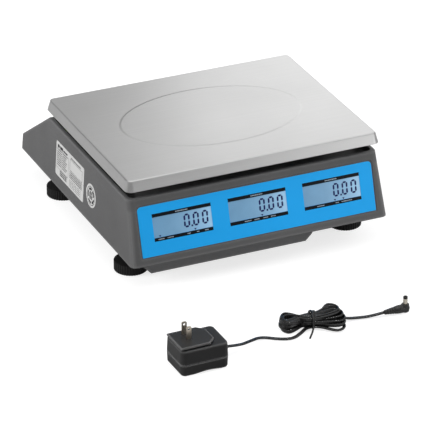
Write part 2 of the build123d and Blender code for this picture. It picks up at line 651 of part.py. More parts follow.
def make_platter_support():
    """The cast spider: a hub over the load cell, four ribbed arms and a cup for each cushion."""
    hub = Pos(0, PLATTER_Y, support_z) * extrude(RectangleRounded(HUB_LENGTH, HUB_DEPTH, 10), ARM_THICKNESS)
    hub -= Pos(0, PLATTER_Y, support_z + 4) * extrude(RectangleRounded(HUB_LENGTH - 16, HUB_DEPTH - 16, 6), 9)
    for x, y in arm_points:
        reach = math.hypot(x, y - PLATTER_Y)
        turn = math.degrees(math.atan2(y - PLATTER_Y, x))
        arm = Pos(reach * 0.62, 0, 0) * Box(reach * 0.76, ARM_WIDTH, ARM_THICKNESS)
        arm -= Pos(reach * 0.66, 0, 4) * Box(reach * 0.5, ARM_WIDTH - 6, ARM_THICKNESS)
        hub += Pos(0, PLATTER_Y, support_z + ARM_THICKNESS / 2) * Rot(0, 0, turn) * arm
        hub += rod(x, y, support_z, cushion_bottom + CUSHION_SEAT, CUP_R)
        hub -= rod(x, y, cushion_bottom, PLATTER_TOP_Z, CUSHION_R + CUSHION_CLEARANCE)
    post = box(cell_free_x - CELL_PAD / 2, cell_free_x + CELL_PAD / 2, PLATTER_Y - CELL_PAD / 2,
               PLATTER_Y + CELL_PAD / 2, cell_top, support_z + 4)
    hub += fillet(post.edges().filter_by(Axis.Z), 3)
    for x in cell_screw_xs(cell_free_x):
        hub -= rod(x, PLATTER_Y, cell_top - 1, cell_top + CELL_SCREW_BITE, CELL_SCREW_R)
    return hub


def make_cushions():
    cushions = Part()
    for x, y in arm_points:
        cushion = rod(x, y, cushion_bottom, platter_inside_z, CUSHION_R)
        stud_end = platter_inside_z - STUD_LENGTH
        cushion -= rod(x, y, stud_end - STUD_END_GAP, PLATTER_TOP_Z, STUD_R + STUD_CLEARANCE)
        cushions += cushion
    return cushions


def make_platter():
    """The stainless pan: a shallow pressed tray turned upside down, with a flared and hemmed skirt."""
    flare = math.degrees(math.atan(PLATTER_FLARE / PLATTER_SKIRT))
    bottom_z = PLATTER_TOP_Z - PLATTER_SKIRT
    length = PLATTER_LENGTH + 2 * PLATTER_FLARE
    depth = PLATTER_DEPTH + 2 * PLATTER_FLARE
    side = PLATTER_SHEET / math.cos(math.radians(flare))

    def pan(shrink, height):
        outline = RectangleRounded(length - 2 * shrink, depth - 2 * shrink, PLATTER_CORNER_R - shrink)
        return Pos(0, PLATTER_Y, bottom_z) * extrude(outline, height, taper=flare)

    outer = pan(0, PLATTER_SKIRT)
    outer = fillet(outer.faces().sort_by(Axis.Z)[-1].edges(), 2.2)
    body = outer - pan(side, PLATTER_SKIRT - PLATTER_SHEET)
    hem = pan(0, HEM_HEIGHT) - pan(side + HEM_WIDTH, HEM_HEIGHT)
    body += hem
    foot = Pos(0, 0, -RING_SEAT) * Ellipse(RING_LENGTH, RING_DEPTH)
    crown = Pos(0, 0, RING_RISE) * Ellipse(RING_LENGTH - RING_WIDTH, RING_DEPTH - RING_WIDTH)
    body += Pos(0, PLATTER_Y, PLATTER_TOP_Z) * loft([foot, crown])
    for x, y in arm_points:
        body += rod(x, y, platter_inside_z - STUD_LENGTH, platter_inside_z, STUD_R)
    return body


# ---------------------------------------------------------------- displays, overlays, boards, keypad
def film(frame, centre_y, length, height, windows, holes, proud, lower):
    sheet = on(frame, 0, centre_y, proud, length, height, OVERLAY_FILM, OVERLAY_R, lower)
    for x, y in windows:
        sheet -= on(frame, x, y, proud + 1, WINDOW_LENGTH, WINDOW_HEIGHT, OVERLAY_FILM + 2)
    for x, y, hole_length in holes:
        hole_height = KEY_HEIGHT + 2 * KEY_GAP
        sheet -= on(frame, x, y, proud + 1, hole_length + 2 * KEY_GAP, hole_height, OVERLAY_FILM + 2)
    return sheet


def displays(frame, y, glass_z):
    """Three liquid crystal modules in a row: the glass stands in the opening, the frame behind the wall."""
    group = Part()
    for x in display_xs:
        lens = on(frame, x, y, glass_z, WINDOW_LENGTH + 2 * LENS_MARGIN, WINDOW_HEIGHT + 2 * LENS_MARGIN,
                  WALL + glass_z)
        back = on(frame, x, y, -WALL, WINDOW_LENGTH + 2 * MODULE_MARGIN, WINDOW_HEIGHT + 2 * MODULE_MARGIN,
                  MODULE_DEPTH)
        group += lens + back
    return group


def make_customer_board():
    board = on(customer_face, 0, window_y, -board_front, BOARD_LENGTH, CUSTOMER_BOARD_HEIGHT, BOARD)
    plug_x = BOARD_LENGTH / 2 - HEADER_INSET
    back = -board_front - BOARD
    return board + on(customer_face, plug_x, window_y, back, HEADER_DEPTH, HEADER_LENGTH, HEADER_RISE)


def make_main_board():
    height = MAIN_BOARD_BOTTOM - MAIN_BOARD_TOP
    middle = -(MAIN_BOARD_TOP + MAIN_BOARD_BOTTOM) / 2
    board = on(console_face, 0, middle, -board_front, BOARD_LENGTH, height, BOARD)
    back = -board_front - BOARD
    chip = on(console_face, CHIP_X, middle, back, CHIP, CHIP, CHIP_RISE)
    header = on(console_face, HEADER_INSET - BOARD_LENGTH / 2 + HEADER_LENGTH, middle, back, HEADER_LENGTH,
                HEADER_DEPTH, HEADER_RISE)
    return board + chip + header


def key_span():
    xs = [x + sign * length / 2 for _, x, _, length in keys for sign in (-1, 1)]
    downs = [down for _, _, down, _ in keys]
    return min(xs), max(xs), min(downs), max(downs)


def make_keypad_mat():
    """Silicone sheet on the main board, with a soft block under each key and two under a wide one."""
    x0, x1, top, bottom = key_span()
    sheet = on(console_face, (x0 + x1) / 2, -(top + bottom) / 2, MAT_SHEET - board_front,
               x1 - x0 + 2 * MAT_MARGIN, bottom - top + KEY_HEIGHT, MAT_SHEET)
    for name, x, down, length in keys:
        spots = (x,) if length == KEY_LENGTH else (x - length / 4, x + length / 4)
        for spot in spots:
            rest = flange_bottom + KEY_REST_GAP
            sheet += on(console_face, spot, -down, -rest, PLUNGER_LENGTH, PLUNGER_HEIGHT,
                        board_front - MAT_SHEET - rest)
    return sheet


def make_key(x, down, length):
    """A cap with bevelled edges, on a flange that stops it behind the console wall."""
    rise = OVERLAY_FILM + KEY_RISE
    outline = Rectangle(length, KEY_HEIGHT)
    outline = chamfer(outline.vertices(), KEY_CORNER)
    cap = extrude(outline, rise + flange_top)
    cap = chamfer(cap.faces().sort_by(Axis.Z)[-1].edges(), KEY_BEVEL)
    cap = console_face * (Pos(x, -down, -flange_top) * cap)
    cap += on(console_face, x, -down, -flange_top, length + 2 * KEY_LIP, KEY_HEIGHT + 2 * KEY_LIP, KEY_FLANGE)
    return cap


# ---------------------------------------------------------------- switch, jack, bubble level, labels
switch_up = SWITCH_RISE / math.cos(d)
jack_up = JACK_RISE / math.cos(d)
pocket_half = ROCKER_LENGTH / 2 + ROCKER_GAP


def make_switch_case():
    bezel = on(right_face, SWITCH_Y, switch_up, SWITCH_BEZEL, SWITCH_LENGTH, SWITCH_HEIGHT, SWITCH_BEZEL,
               SWITCH_CORNER_R, SWITCH_CORNER_R)
    bezel += on(right_face, SWITCH_Y, switch_up, 0, SWITCH_LENGTH - 2.6, SWITCH_HEIGHT - 2.6, SWITCH_DEPTH)
    bezel -= on(right_face, SWITCH_Y, switch_up, SWITCH_BEZEL + 1, 2 * pocket_half, ROCKER_WIDTH + 0.5, 9)
    pin = Rot(90, 0, 0) * Cylinder(ROCKER_PIN_R + ROCKER_PIN_CLEARANCE, ROCKER_WIDTH + 2.4)
    return bezel - right_face * (Pos(SWITCH_Y, switch_up, SWITCH_BEZEL - ROCKER_DEPTH) * pin)


def make_rocker():
    """A shallow V seen from the side, tipped to its off side, on a pin through its waist."""
    half = ROCKER_LENGTH / 2
    outline = [(-half, -1.4), (-half, 3.6), (0, 2.6), (half, 3.6), (half, -1.4), (0, -2.4)]
    rocker = extrude(make_face(Plane.XZ * Polyline(*outline, close=True)), amount=ROCKER_WIDTH / 2, both=True)
    rocker += Rot(90, 0, 0) * Cylinder(ROCKER_PIN_R, ROCKER_WIDTH + 1.6)
    tipped = Rot(0, ROCKER_TILT, 0) * rocker
    return right_face * (Pos(SWITCH_Y, switch_up, SWITCH_BEZEL - ROCKER_DEPTH) * tipped)


def make_jack():
    nose = peg(right_face, JACK_Y, jack_up, 0, JACK_NOSE_R, WALL)
    body = on(right_face, JACK_Y, jack_up, -WALL, JACK_WIDTH, JACK_WIDTH, JACK_DEPTH - WALL)
    body = nose + body - peg(right_face, JACK_Y, jack_up, 1, JACK_BORE_R, JACK_BORE_DEPTH + 1)
    return body + peg(right_face, JACK_Y, jack_up, -1.0, JACK_PIN_R, JACK_BORE_DEPTH)


def make_level():
    vial = rod(LEVEL_X, LEVEL_Y, DECK_Z - LEVEL_DEPTH, DECK_Z, LEVEL_R)
    vial += rod(LEVEL_X, LEVEL_Y, DECK_Z, DECK_Z + LEVEL_FLANGE, LEVEL_FLANGE_R)
    return vial


def make_labels():
    plate = on(left_face, -LABEL_Y, LABEL_RISE / math.cos(d), LABEL_FILM, LABEL_LENGTH, LABEL_HEIGHT,
               LABEL_FILM, LABEL_R, LABEL_R)
    seal = peg(left_face, -SEAL_Y, SEAL_RISE / math.cos(d), LABEL_FILM, SEAL_R, LABEL_FILM)
    return plate + seal


# ---------------------------------------------------------------- feet
def make_wheel(x, y):
    """A fluted hand wheel and its levelling screw, turning on the pad's pivot."""
    points = []
    for i in range(2 * WHEEL_TEETH):
        angle = math.pi * i / WHEEL_TEETH
        radius = WHEEL_R if i % 2 == 0 else WHEEL_R - TOOTH_DEPTH
        points.append((radius * math.cos(angle), radius * math.sin(angle)))
    wheel = extrude(make_face(Polyline(*points, close=True)), WHEEL_TOP_Z - WHEEL_BOTTOM_Z)
    wheel = Pos(x, y, WHEEL_BOTTOM_Z) * wheel
    wheel += rod(x, y, WHEEL_TOP_Z, BASE_Z + THREAD_REACH, THREAD_R - THREAD_CLEARANCE)
    wheel -= rod(x, y, 0, PAD_HEIGHT + 0.1, PAD_R + 0.3)
    wheel -= rod(x, y, 0, PIVOT_TOP_Z + 0.2, PIVOT_R + PIVOT_CLEARANCE)
    return wheel


def make_pad(x, y):
    pad = rod(x, y, 0, PAD_HEIGHT, PAD_R)
    pad = chamfer(pad.edges().sort_by(Axis.Z)[0], 0.8)
    return pad + rod(x, y, PAD_HEIGHT, PIVOT_TOP_Z, PIVOT_R)


# ---------------------------------------------------------------- mains adapter and its cord
adapter = Location((ADAPTER_X, ADAPTER_Y, 0), (0, 0, ADAPTER_TURN))


def strain_relief():
    """The stub that the cord leaves by, rooted just inside the end wall."""
    root = 2.0
    start = Pos(ADAPTER_LENGTH / 2 - root, 0, RELIEF_Z) * Rot(0, 90, 0)
    return start * Pos(0, 0, (RELIEF_LENGTH + root) / 2) * Cone(RELIEF_R, RELIEF_TIP_R, RELIEF_LENGTH + root)


def make_adapter_top():
    outline = RectangleRounded(ADAPTER_LENGTH, ADAPTER_DEPTH, ADAPTER_R)
    shell = extrude(outline, ADAPTER_TOP_Z - ADAPTER_SPLIT_Z, taper=ADAPTER_TAPER)
    shell = fillet(shell.faces().sort_by(Axis.Z)[-1].edges(), ADAPTER_TOP_R)
    shell = chamfer(shell.faces().sort_by(Axis.Z)[0].edges(), ADAPTER_SEAM)
    return adapter * (Pos(0, 0, ADAPTER_SPLIT_Z) * shell - strain_relief())


def make_adapter_base():
    """The lower shell tapers downwards, and its underside is arched between two feet."""
    outline = RectangleRounded(ADAPTER_LENGTH, ADAPTER_DEPTH, ADAPTER_R)
    shell = extrude(outline, -ADAPTER_SPLIT_Z, taper=ADAPTER_TAPER)
    shell = fillet(shell.faces().sort_by(Axis.Z)[0].edges(), ADAPTER_FOOT_R)
    shell = chamfer(shell.faces().sort_by(Axis.Z)[-1].edges(), ADAPTER_SEAM)
    shell = Pos(0, 0, ADAPTER_SPLIT_Z) * shell
    span = ADAPTER_LENGTH * 0.62
    radius = (span * span / 4 + ADAPTER_ARCH * ADAPTER_ARCH) / (2 * ADAPTER_ARCH)
    shell -= Pos(3, 0, ADAPTER_ARCH - radius) * Rot(90, 0, 0) * Cylinder(radius, ADAPTER_DEPTH + 2)
    return adapter * (shell + strain_relief())


def slide_outline(grow):
    """The plug plate's outline: straight at the left, cut corners at the right."""
    half_x = SLIDE_LENGTH / 2 + grow
    half_y = SLIDE_DEPTH / 2 + grow
    cut_x = half_x - SLIDE_CUT
    cut_y = half_y - SLIDE_CUT
    return make_face(Polyline((-half_x, -half_y), (cut_x, -half_y), (half_x, -cut_y), (half_x, cut_y),
                              (cut_x, half_y), (-half_x, half_y), close=True))


slide_x = -ADAPTER_LENGTH / 2 + SLIDE_INSET + SLIDE_LENGTH / 2
slide_z = ADAPTER_TOP_Z + SLIDE_RUNNER


def make_plug_slide():
    plate = extrude(slide_outline(0), SLIDE_THICKNESS)
    plate = chamfer(plate.faces().sort_by(Axis.Z)[-1].edges(), 0.7)
    plate = Pos(slide_x, 0, slide_z) * plate
    runner_y = SLIDE_DEPTH / 2 - SLIDE_RUNNER_INSET
    runner = box(slide_x - SLIDE_LENGTH / 2 + SLIDE_RUNNER_INSET, slide_x + SLIDE_LENGTH / 2 - SLIDE_CUT,
                 -runner_y, runner_y, ADAPTER_TOP_Z, slide_z)
    return adapter * (plate + runner)


def make_blades():
    blades = Part()
    base = slide_z + SLIDE_THICKNESS
    for y in (-BLADE_SPACING / 2, BLADE_SPACING / 2):
        blade = Box(BLADE_WIDTH, BLADE_THICKNESS, BLADE_LENGTH)
        tip = [e for e in blade.edges().filter_by(Axis.Y) if e.center().Z > 0]
        blade = chamfer(tip, 1.2)
        hole = Pos(0, 0, BLADE_LENGTH / 2 - BLADE_HOLE_DOWN) * Rot(90, 0, 0)
        blade -= hole * Cylinder(BLADE_HOLE_R, BLADE_THICKNESS + 2)
        blades += Pos(BLADE_X, BLADE_Y + y, base + BLADE_LENGTH / 2) * blade
    return adapter * blades


def cord_tube(points):
    """Straight runs joined by tangent arcs, each as large as its two runs allow."""
    radii = []
    for a, b, e in zip(points, points[1:], points[2:]):
        first = Vector(*b) - Vector(*a)
        second = Vector(*e) - Vector(*b)
        turn = math.radians(first.get_angle(second))
        radii.append(0.45 * min(first.length, second.length) / math.tan(turn / 2))
    print("cord radii", [round(r, 1) for r in radii])
    path = FilletPolyline(*points, radius=radii)
    start = Plane(origin=path @ 0, z_dir=path % 0)
    tube = sweep(start * Circle(CORD_R), path=path)
    expected = path.length * math.pi * CORD_R ** 2
    print("cord length", round(path.length, 1), "volume ratio", tube.volume / expected)
    return tube


relief_tip = (adapter * Pos(ADAPTER_LENGTH / 2 + RELIEF_LENGTH, 0, RELIEF_Z)).position

# Route of the thin lead from the adapter to the hank, lying on the counter
ADAPTER_LEAD = [
    (relief_tip.X, relief_tip.Y, relief_tip.Z),
    (-112.0, -364.7, 12.4),
    (-93.0, -350.0, 5.5),
    (-74.0, -340.0, 1.9),
    (-57.0, -353.6, 1.85),
    (-41.0, -359.6, 1.85),
    (-26.0, -351.6, 1.85),
]
# Route from the hank to the right-angle plug
PLUG_LEAD = [
    (34.5, -345.2, 4.4),
    (48.5, -345.8, 2.4),
    (65.0, -349.6, 2.6),
    (81.0, -352.4, 5.55),
]

# Outline of the tied hank seen from above, clockwise from its far left lobe
HANK_OUTLINE = [
    (-42.0, -315.0),
    (-25.0, -311.0),
    (-5.0, -328.0),
    (28.0, -318.5),
    (37.0, -330.0),
    (34.5, -352.0),
    (22.0, -365.0),
    (4.0, -364.0),
    (-8.0, -350.5),
    (-26.0, -351.6),
    (-47.0, -346.0),
    (-50.0, -330.0),
]
HANK_HEIGHT = 11.0
HANK_WAIST_HEIGHT = 16.0
HANK_WAIST = (-8.0, -339.4)
HANK_TURN = -11.0
TIE_R = 1.2
TIE_SHEET = 1.3
TIE_HALF = 12.0
TIE_TAIL = 17.0
hank_seat = Location((HANK_WAIST[0], HANK_WAIST[1], TIE_SHEET + HANK_WAIST_HEIGHT / 2), (0, 0, HANK_TURN))


def make_hank():
    slab = extrude(make_face(Polyline(*HANK_OUTLINE, close=True)), HANK_HEIGHT)
    slab = fillet(slab.edges().filter_by(Axis.Z), 3)
    waist = Box(26, 17, HANK_WAIST_HEIGHT)
    waist = fillet(waist.edges().filter_by(Axis.X), 5)
    return slab + hank_seat * waist


def make_tie():
    """A wire tie round the hank's waist, with one tail lying on the counter."""
    wide = 2 * TIE_HALF
    ring = RectangleRounded(wide, HANK_WAIST_HEIGHT + 2 * TIE_SHEET, 6)
    ring -= RectangleRounded(wide - 2 * TIE_SHEET, HANK_WAIST_HEIGHT, 6 - TIE_SHEET)
    ring = extrude(Plane.YZ * ring, amount=TIE_R, both=True)
    tail = Pos(-2, 2 - TIE_HALF - TIE_TAIL / 2, TIE_SHEET / 2 - HANK_WAIST_HEIGHT / 2 - TIE_SHEET)
    tail *= Rot(0, 0, -12)
    return hank_seat * (ring + tail * Box(2 * TIE_R, TIE_TAIL + 8, TIE_SHEET))


def make_barrel_plug():
    """Right-angle moulded plug: a tapered relief that swells into the elbow."""
    start = PLUG_LEAD[-1]
    length = PLUG_X - start[0]
    along = Location((start[0], start[1], start[2]), (0, 90, 0))
    body = along * Pos(0, 0, length / 2) * Cone(CORD_R + PLUG_RELIEF_WALL, PLUG_R - 0.6, length)
    body += rod(PLUG_X, PLUG_Y, start[2] - PLUG_R, PLUG_TOP_Z, PLUG_R)
    return body


def make_barrel_sleeve():
    sleeve = rod(PLUG_X, PLUG_Y, PLUG_TOP_Z, PLUG_TOP_Z + BARREL_SLEEVE, BARREL_R)
    return sleeve - rod(PLUG_X, PLUG_Y, PLUG_TOP_Z + 1, PLUG_TOP_Z + 2 * BARREL_SLEEVE, BARREL_BORE_R)


def make_barrel_tip():
    base = PLUG_TOP_Z + BARREL_SLEEVE
    tip = rod(PLUG_X, PLUG_Y, base, base + BARREL_TIP, BARREL_R)
    tip = chamfer(tip.edges().sort_by(Axis.Z)[-1], 0.4)
    return tip - rod(PLUG_X, PLUG_Y, base - 1, base + 2 * BARREL_TIP, BARREL_BORE_R)


# ---------------------------------------------------------------- build every node
adapter_lead = cord_tube(ADAPTER_LEAD)
plug_lead = cord_tube(PLUG_LEAD)
tie = make_tie()
nodes = {
    "platter": make_platter(),
    "platter_support": make_platter_support(),
    "platter_cushions": make_cushions(),
    "load_cell": make_load_cell(),
    "support_screws": make_support_screws(),
    "base_screws": make_base_screws(),
    "chassis": make_chassis(),
    "overload_stops": make_overload_stops(),
    "upper_housing": make_upper_housing(),
    "lower_housing": make_lower_housing(),
    "housing_screws": make_housing_screws(),
    "customer_overlay": film(customer_face, OVERLAY_FOOT + OVERLAY_HEIGHT / 2, OVERLAY_LENGTH, OVERLAY_HEIGHT,
                             [(x, window_y) for x in display_xs], [], 0.0, OVERLAY_LOWER_R),
    "customer_displays": displays(customer_face, window_y, -OVERLAY_FILM),
    "customer_board": make_customer_board(),
    "operator_overlay": film(console_face, -(CONSOLE_FILM_TOP + CONSOLE_FILM_BOTTOM) / 2, CONSOLE_FILM_LENGTH,
                             CONSOLE_FILM_BOTTOM - CONSOLE_FILM_TOP,
                             [(x, -OPERATOR_WINDOW_DOWN) for x in display_xs],
                             [(x, -down, length) for _, x, down, length in keys], OVERLAY_FILM, OVERLAY_R),
    "operator_displays": displays(console_face, -OPERATOR_WINDOW_DOWN, 0.0),
    "main_board": make_main_board(),
    "keypad_mat": make_keypad_mat(),
    "battery": make_battery(),
    "battery_door": make_battery_door(),
    "dc_jack": make_jack(),
    "power_switch_case": make_switch_case(),
    "power_switch_rocker": make_rocker(),
    "bubble_level": make_level(),
    "side_labels": make_labels(),
    "adapter_upper_shell": make_adapter_top(),
    "adapter_lower_shell": make_adapter_base() - adapter_lead,
    "plug_slide": make_plug_slide(),
    "plug_blades": make_blades(),
    "adapter_lead": adapter_lead,
    "cord_hank": make_hank() - tie - adapter_lead - plug_lead,
    "hank_tie": tie,
    "plug_lead": plug_lead,
    "barrel_plug": make_barrel_plug() - plug_lead,
    "barrel_sleeve": make_barrel_sleeve(),
    "barrel_tip": make_barrel_tip(),
}
for corner, (x, y) in feet.items():
    nodes[f"foot_pad_{corner}"] = make_pad(x, y)
    nodes[f"foot_wheel_{corner}"] = make_wheel(x, y)
for name, x, down, length in keys:
    nodes[name] = make_key(x, down, length)

for name, shape in nodes.items():
    export_step(shape, f"parts/{name}.step")
print(len(nodes), "nodes")
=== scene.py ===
# %% [markdown]
# # A retail price scale
# The scale stands on a pale counter with its mains adapter in front of it. The solid pieces are already
# there: housings, platter, displays, keys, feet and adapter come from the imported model, each one an object of
# its own. This lesson gives them their finishes, adds what is printed or wound rather than machined, and
# sets up a small studio round them.

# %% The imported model
import math

import bpy
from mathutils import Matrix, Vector


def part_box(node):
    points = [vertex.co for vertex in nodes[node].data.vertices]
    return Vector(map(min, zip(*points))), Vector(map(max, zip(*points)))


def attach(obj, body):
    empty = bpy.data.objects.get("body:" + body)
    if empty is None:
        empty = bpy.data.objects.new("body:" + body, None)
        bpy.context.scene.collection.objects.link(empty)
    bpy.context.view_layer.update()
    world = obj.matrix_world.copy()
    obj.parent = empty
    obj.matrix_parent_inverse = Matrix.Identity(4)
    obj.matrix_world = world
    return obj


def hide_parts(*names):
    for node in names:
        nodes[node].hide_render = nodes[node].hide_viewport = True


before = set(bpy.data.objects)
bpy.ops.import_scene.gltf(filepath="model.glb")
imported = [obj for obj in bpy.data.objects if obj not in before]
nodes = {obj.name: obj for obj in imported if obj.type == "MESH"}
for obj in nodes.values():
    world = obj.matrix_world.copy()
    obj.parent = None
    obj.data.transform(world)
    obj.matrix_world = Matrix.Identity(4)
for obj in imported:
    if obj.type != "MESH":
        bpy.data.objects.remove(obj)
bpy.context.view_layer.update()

MM = 0.001

# %% [markdown]
# ## The camera
# A product shot of a box like this is taken from far away with a long lens, so that its edges stay nearly
# parallel. The camera stands to the left of the customer's place and looks a little down on the platter.

# %% Camera
def place_camera(name, place, tilt, turn, lens):
    """Adds a camera. Tilt is measured from straight down, turn about the vertical, both in degrees."""
    data = bpy.data.cameras.new(name)
    data.lens = lens
    data.sensor_width = 36
    data.clip_end = 50
    camera = bpy.data.objects.new(name, data)
    camera.location = place
    camera.rotation_euler = (math.radians(tilt), 0, math.radians(turn))
    bpy.context.scene.collection.objects.link(camera)
    bpy.context.scene.camera = camera
    return camera


camera = place_camera("studio_camera", (-1.4856, -3.3433, 1.8675), tilt=62.8, turn=-24.25, lens=272.05)
print("camera at", tuple(round(v, 3) for v in camera.location))

# %% [markdown]
# ## The adapter's cord
# The cord is one thin twin lead, from the adapter's strain relief to the barrel plug. Most of it is wound
# into a hank with a tie round its waist. A NURBS spline suits it: its points are few, and its line bends as
# smoothly as soft plastic does. First come the two loose ends, point by point.

# %% Loose ends of the cord, in millimetres
CORD_WIDTH = 4.8
CORD_THICKNESS = 3.0

adapter_end = [
    (-127.36, -362.93, 13.4),
    (-112.0, -364.7, 12.4),
    (-93.0, -350.0, 5.5),
    (-74.0, -340.0, 1.9),
    (-57.0, -353.6, 1.85),
    (-41.0, -359.6, 1.85),
    (-26.0, -351.6, 3.0),
]
plug_end = [
    (34.5, -345.2, 4.4),
    (48.5, -345.8, 2.4),
    (65.0, -349.6, 2.6),
    (81.0, -352.4, 5.55),
]
print(len(adapter_end) + len(plug_end), "points on the loose ends")

# %% [markdown]
# The hank is wound between two hands: out to the right, round, back through the waist, out to the left, and
# so on. Each turn passes the waist in its own slot, and its two folds fan out where nothing holds them. A
# small frame along the hank keeps the numbers plain: u runs along it, v across it, and z is the height.

# %% The wound hank
HANK_MIDDLE = (-8.0, -339.4)
HANK_TURN = math.radians(-11)
WAIST = 8.0

# Folds on the right and on the left: place u, v and height of the fold's middle, and its radius
right_folds = [
    (26, -10.0, 3.2, 11.0),
    (27, -7.0, 7.6, 11.0),
    (25, 7.5, 5.4, 11.0),
    (28, -3.0, 10.2, 11.0),
    (27, 3.0, 12.2, 11.0),
    (25, 8.0, 13.6, 10.8),
    (24, 10.0, 15.0, 11.0),
]
left_folds = [
    (-25, -2.0, 3.4, 11.4),
    (-27, 1.5, 5.6, 11.0),
    (-25, 0.5, 8.0, 11.2),
    (-26, 3.0, 10.2, 11.0),
    (-25, 0.5, 12.6, 11.0),
    (-25, 3.0, 14.2, 11.0),
    (-24, -2.0, 15.0, 11.0),
]
# Slots in the waist: v and height, for the strands that run right and for those that run left
right_slots = [(-6.6, 3.4), (-3.3, 3.4), (0.0, 3.4), (-6.6, 8.3), (-3.3, 8.3), (-6.4, 13.0), (-3.1, 13.6),
               (0.2, 14.4)]
left_slots = [(3.3, 3.4), (6.6, 3.6), (3.3, 8.3), (6.6, 8.3), (3.4, 13.6), (6.5, 13.0), (0.0, 8.6)]
# Where the lead leaves the hank for the plug: u, v and height
HANK_EXIT = (27, 1.0, 11.0)


def on_hank(u, v, z):
    """A point of the hank's own frame, in millimetres of the model's frame."""
    c, s = math.cos(HANK_TURN), math.sin(HANK_TURN)
    return (HANK_MIDDLE[0] + u * c - v * s, HANK_MIDDLE[1] + u * s + v * c, z)


def through_waist(slot, heading):
    """Two points that keep a strand straight under the tie. Heading is 1 to the right, -1 to the left."""
    v, z = slot
    return [on_hank(-heading * WAIST, v, z), on_hank(heading * WAIST, v, z)]


def round_fold(fold, heading):
    """Half an octagon that opens towards the waist. The spline rounds its far side to nearly a half circle,
    and turns more sharply at its two ends, where the strands leave for the waist."""
    u, v, z, radius = fold
    lean = math.atan2(v, abs(u) - WAIST)
    c, s = math.cos(lean), math.sin(lean)
    near = radius * math.tan(math.radians(22.5))
    corners = [(near, -radius), (radius, -near), (radius, near), (near, radius)]
    return [on_hank(u + heading * (a * c - b * s), v + a * s + b * c, z) for a, b in corners]


hank = []
for turn in range(len(right_folds)):
    hank += through_waist(right_slots[turn], 1)
    hank += round_fold(right_folds[turn], 1)
    hank += through_waist(left_slots[turn], -1)
    hank += round_fold(left_folds[turn], -1)
hank += through_waist(right_slots[-1], 1)
cord_points = adapter_end + hank + [on_hank(*HANK_EXIT)] + plug_end
print(len(hank), "points in the hank")

# %% [markdown]
# The spline gives the middle line. The cord's section, two wires side by side with a groove between them, is
# then swept along it. A bevelled curve would do for a round cord, but a mesh lets the flat lead stand on its
# edge in the hank, where it has to bend, and lie flat on the counter elsewhere.

# %% Sweeping the twin lead
def spline_points(name, points):
    """Reads the smooth line of a NURBS spline as a list of vectors in metres."""
    curve = bpy.data.curves.new(name, "CURVE")
    curve.dimensions = "3D"
    curve.resolution_u = 10
    spline = curve.splines.new("NURBS")
    spline.points.add(len(points) - 1)
    for point, (x, y, z) in zip(spline.points, points):
        point.co = (x * MM, y * MM, z * MM, 1)
    spline.order_u = 3
    spline.use_endpoint_u = True
    holder = bpy.data.objects.new(name, curve)
    bpy.context.scene.collection.objects.link(holder)
    bpy.context.view_layer.update()
    mesh = bpy.data.meshes.new_from_object(holder)
    line = [v.co.copy() for v in mesh.vertices]
    bpy.data.objects.remove(holder)
    bpy.data.meshes.remove(mesh)
    return line


def make_object(name, vertices, faces, smooth=True):
    mesh = bpy.data.meshes.new(name)
    mesh.from_pydata(vertices, [], faces)
    mesh.update()
    if smooth:
        mesh.shade_smooth()
    thing = bpy.data.objects.new(name, mesh)
    bpy.context.scene.collection.objects.link(thing)
    return thing


def tube_faces(rings, n):
    """The walls and the two ends of a tube whose rings have n corners each."""
    faces = [(i * n + j, i * n + (j + 1) % n, (i + 1) * n + (j + 1) % n, (i + 1) * n + j)
             for i in range(rings - 1) for j in range(n)]
    return faces + [tuple(range(n))[::-1], tuple(range((rings - 1) * n, rings * n))]


def sweep(name, line, section, roll=None):
    """A closed tube: the section, in metres across and up, carried along the line. Its width stays level
    unless roll turns it by an angle for each share of the way."""
    vertices = []
    rings = len(line)
    for i, point in enumerate(line):
        ahead = line[min(i + 1, rings - 1)] - line[max(i - 1, 0)]
        ahead.normalize()
        side = ahead.cross(Vector((0, 0, 1))).normalized()
        up = side.cross(ahead)
        angle = roll(i / (rings - 1)) if roll else 0.0
        a = side * math.cos(angle) + up * math.sin(angle)
        b = up * math.cos(angle) - side * math.sin(angle)
        vertices += [point + a * x + b * y for x, y in section]
    return make_object(name, vertices, tube_faces(rings, len(section)))


GROOVE_DEPTH = 0.3
GROOVE_WIDTH = 0.3


def twin_section(width, thickness, steps=20):
    """A flat oval with a groove along its middle, above and below."""
    outline = []
    for i in range(steps):
        t = 2 * math.pi * i / steps
        groove = 1 - GROOVE_DEPTH * math.exp(-(math.cos(t) / GROOVE_WIDTH) ** 2)
        outline.append((width / 2 * MM * math.cos(t), thickness / 2 * MM * math.sin(t) * groove))
    return outline


# Shares of the lead's length: where the hank starts and ends, and over how much of it the lead turns on edge
HANK_START, HANK_END, TURNING = 0.085, 0.965, 0.03
ON_EDGE = 1.25
EDGE_SWING = 0.35
SWING_PACE = 47


def hank_roll(share):
    """The lead lies flat on the counter and stands on its edge, leaning to and fro, in the hank."""
    inside = max(0.0, min(1.0, (share - HANK_START) / TURNING, (HANK_END - share) / TURNING))
    return inside * (ON_EDGE + EDGE_SWING * math.sin(share * SWING_PACE))


cord_line = spline_points("cord_route", cord_points)
cord = sweep("adapter_cord", cord_line, twin_section(CORD_WIDTH, CORD_THICKNESS), hank_roll)
cord_length = sum((b - a).length for a, b in zip(cord_line, cord_line[1:]))
print("cord", round(cord_length, 3), "m long")

# %% [markdown]
# ## The tie
# A short black twist tie holds the hank: a coated wire that goes once round the waist, is twisted on top
# and ends in a straight tail on the counter.

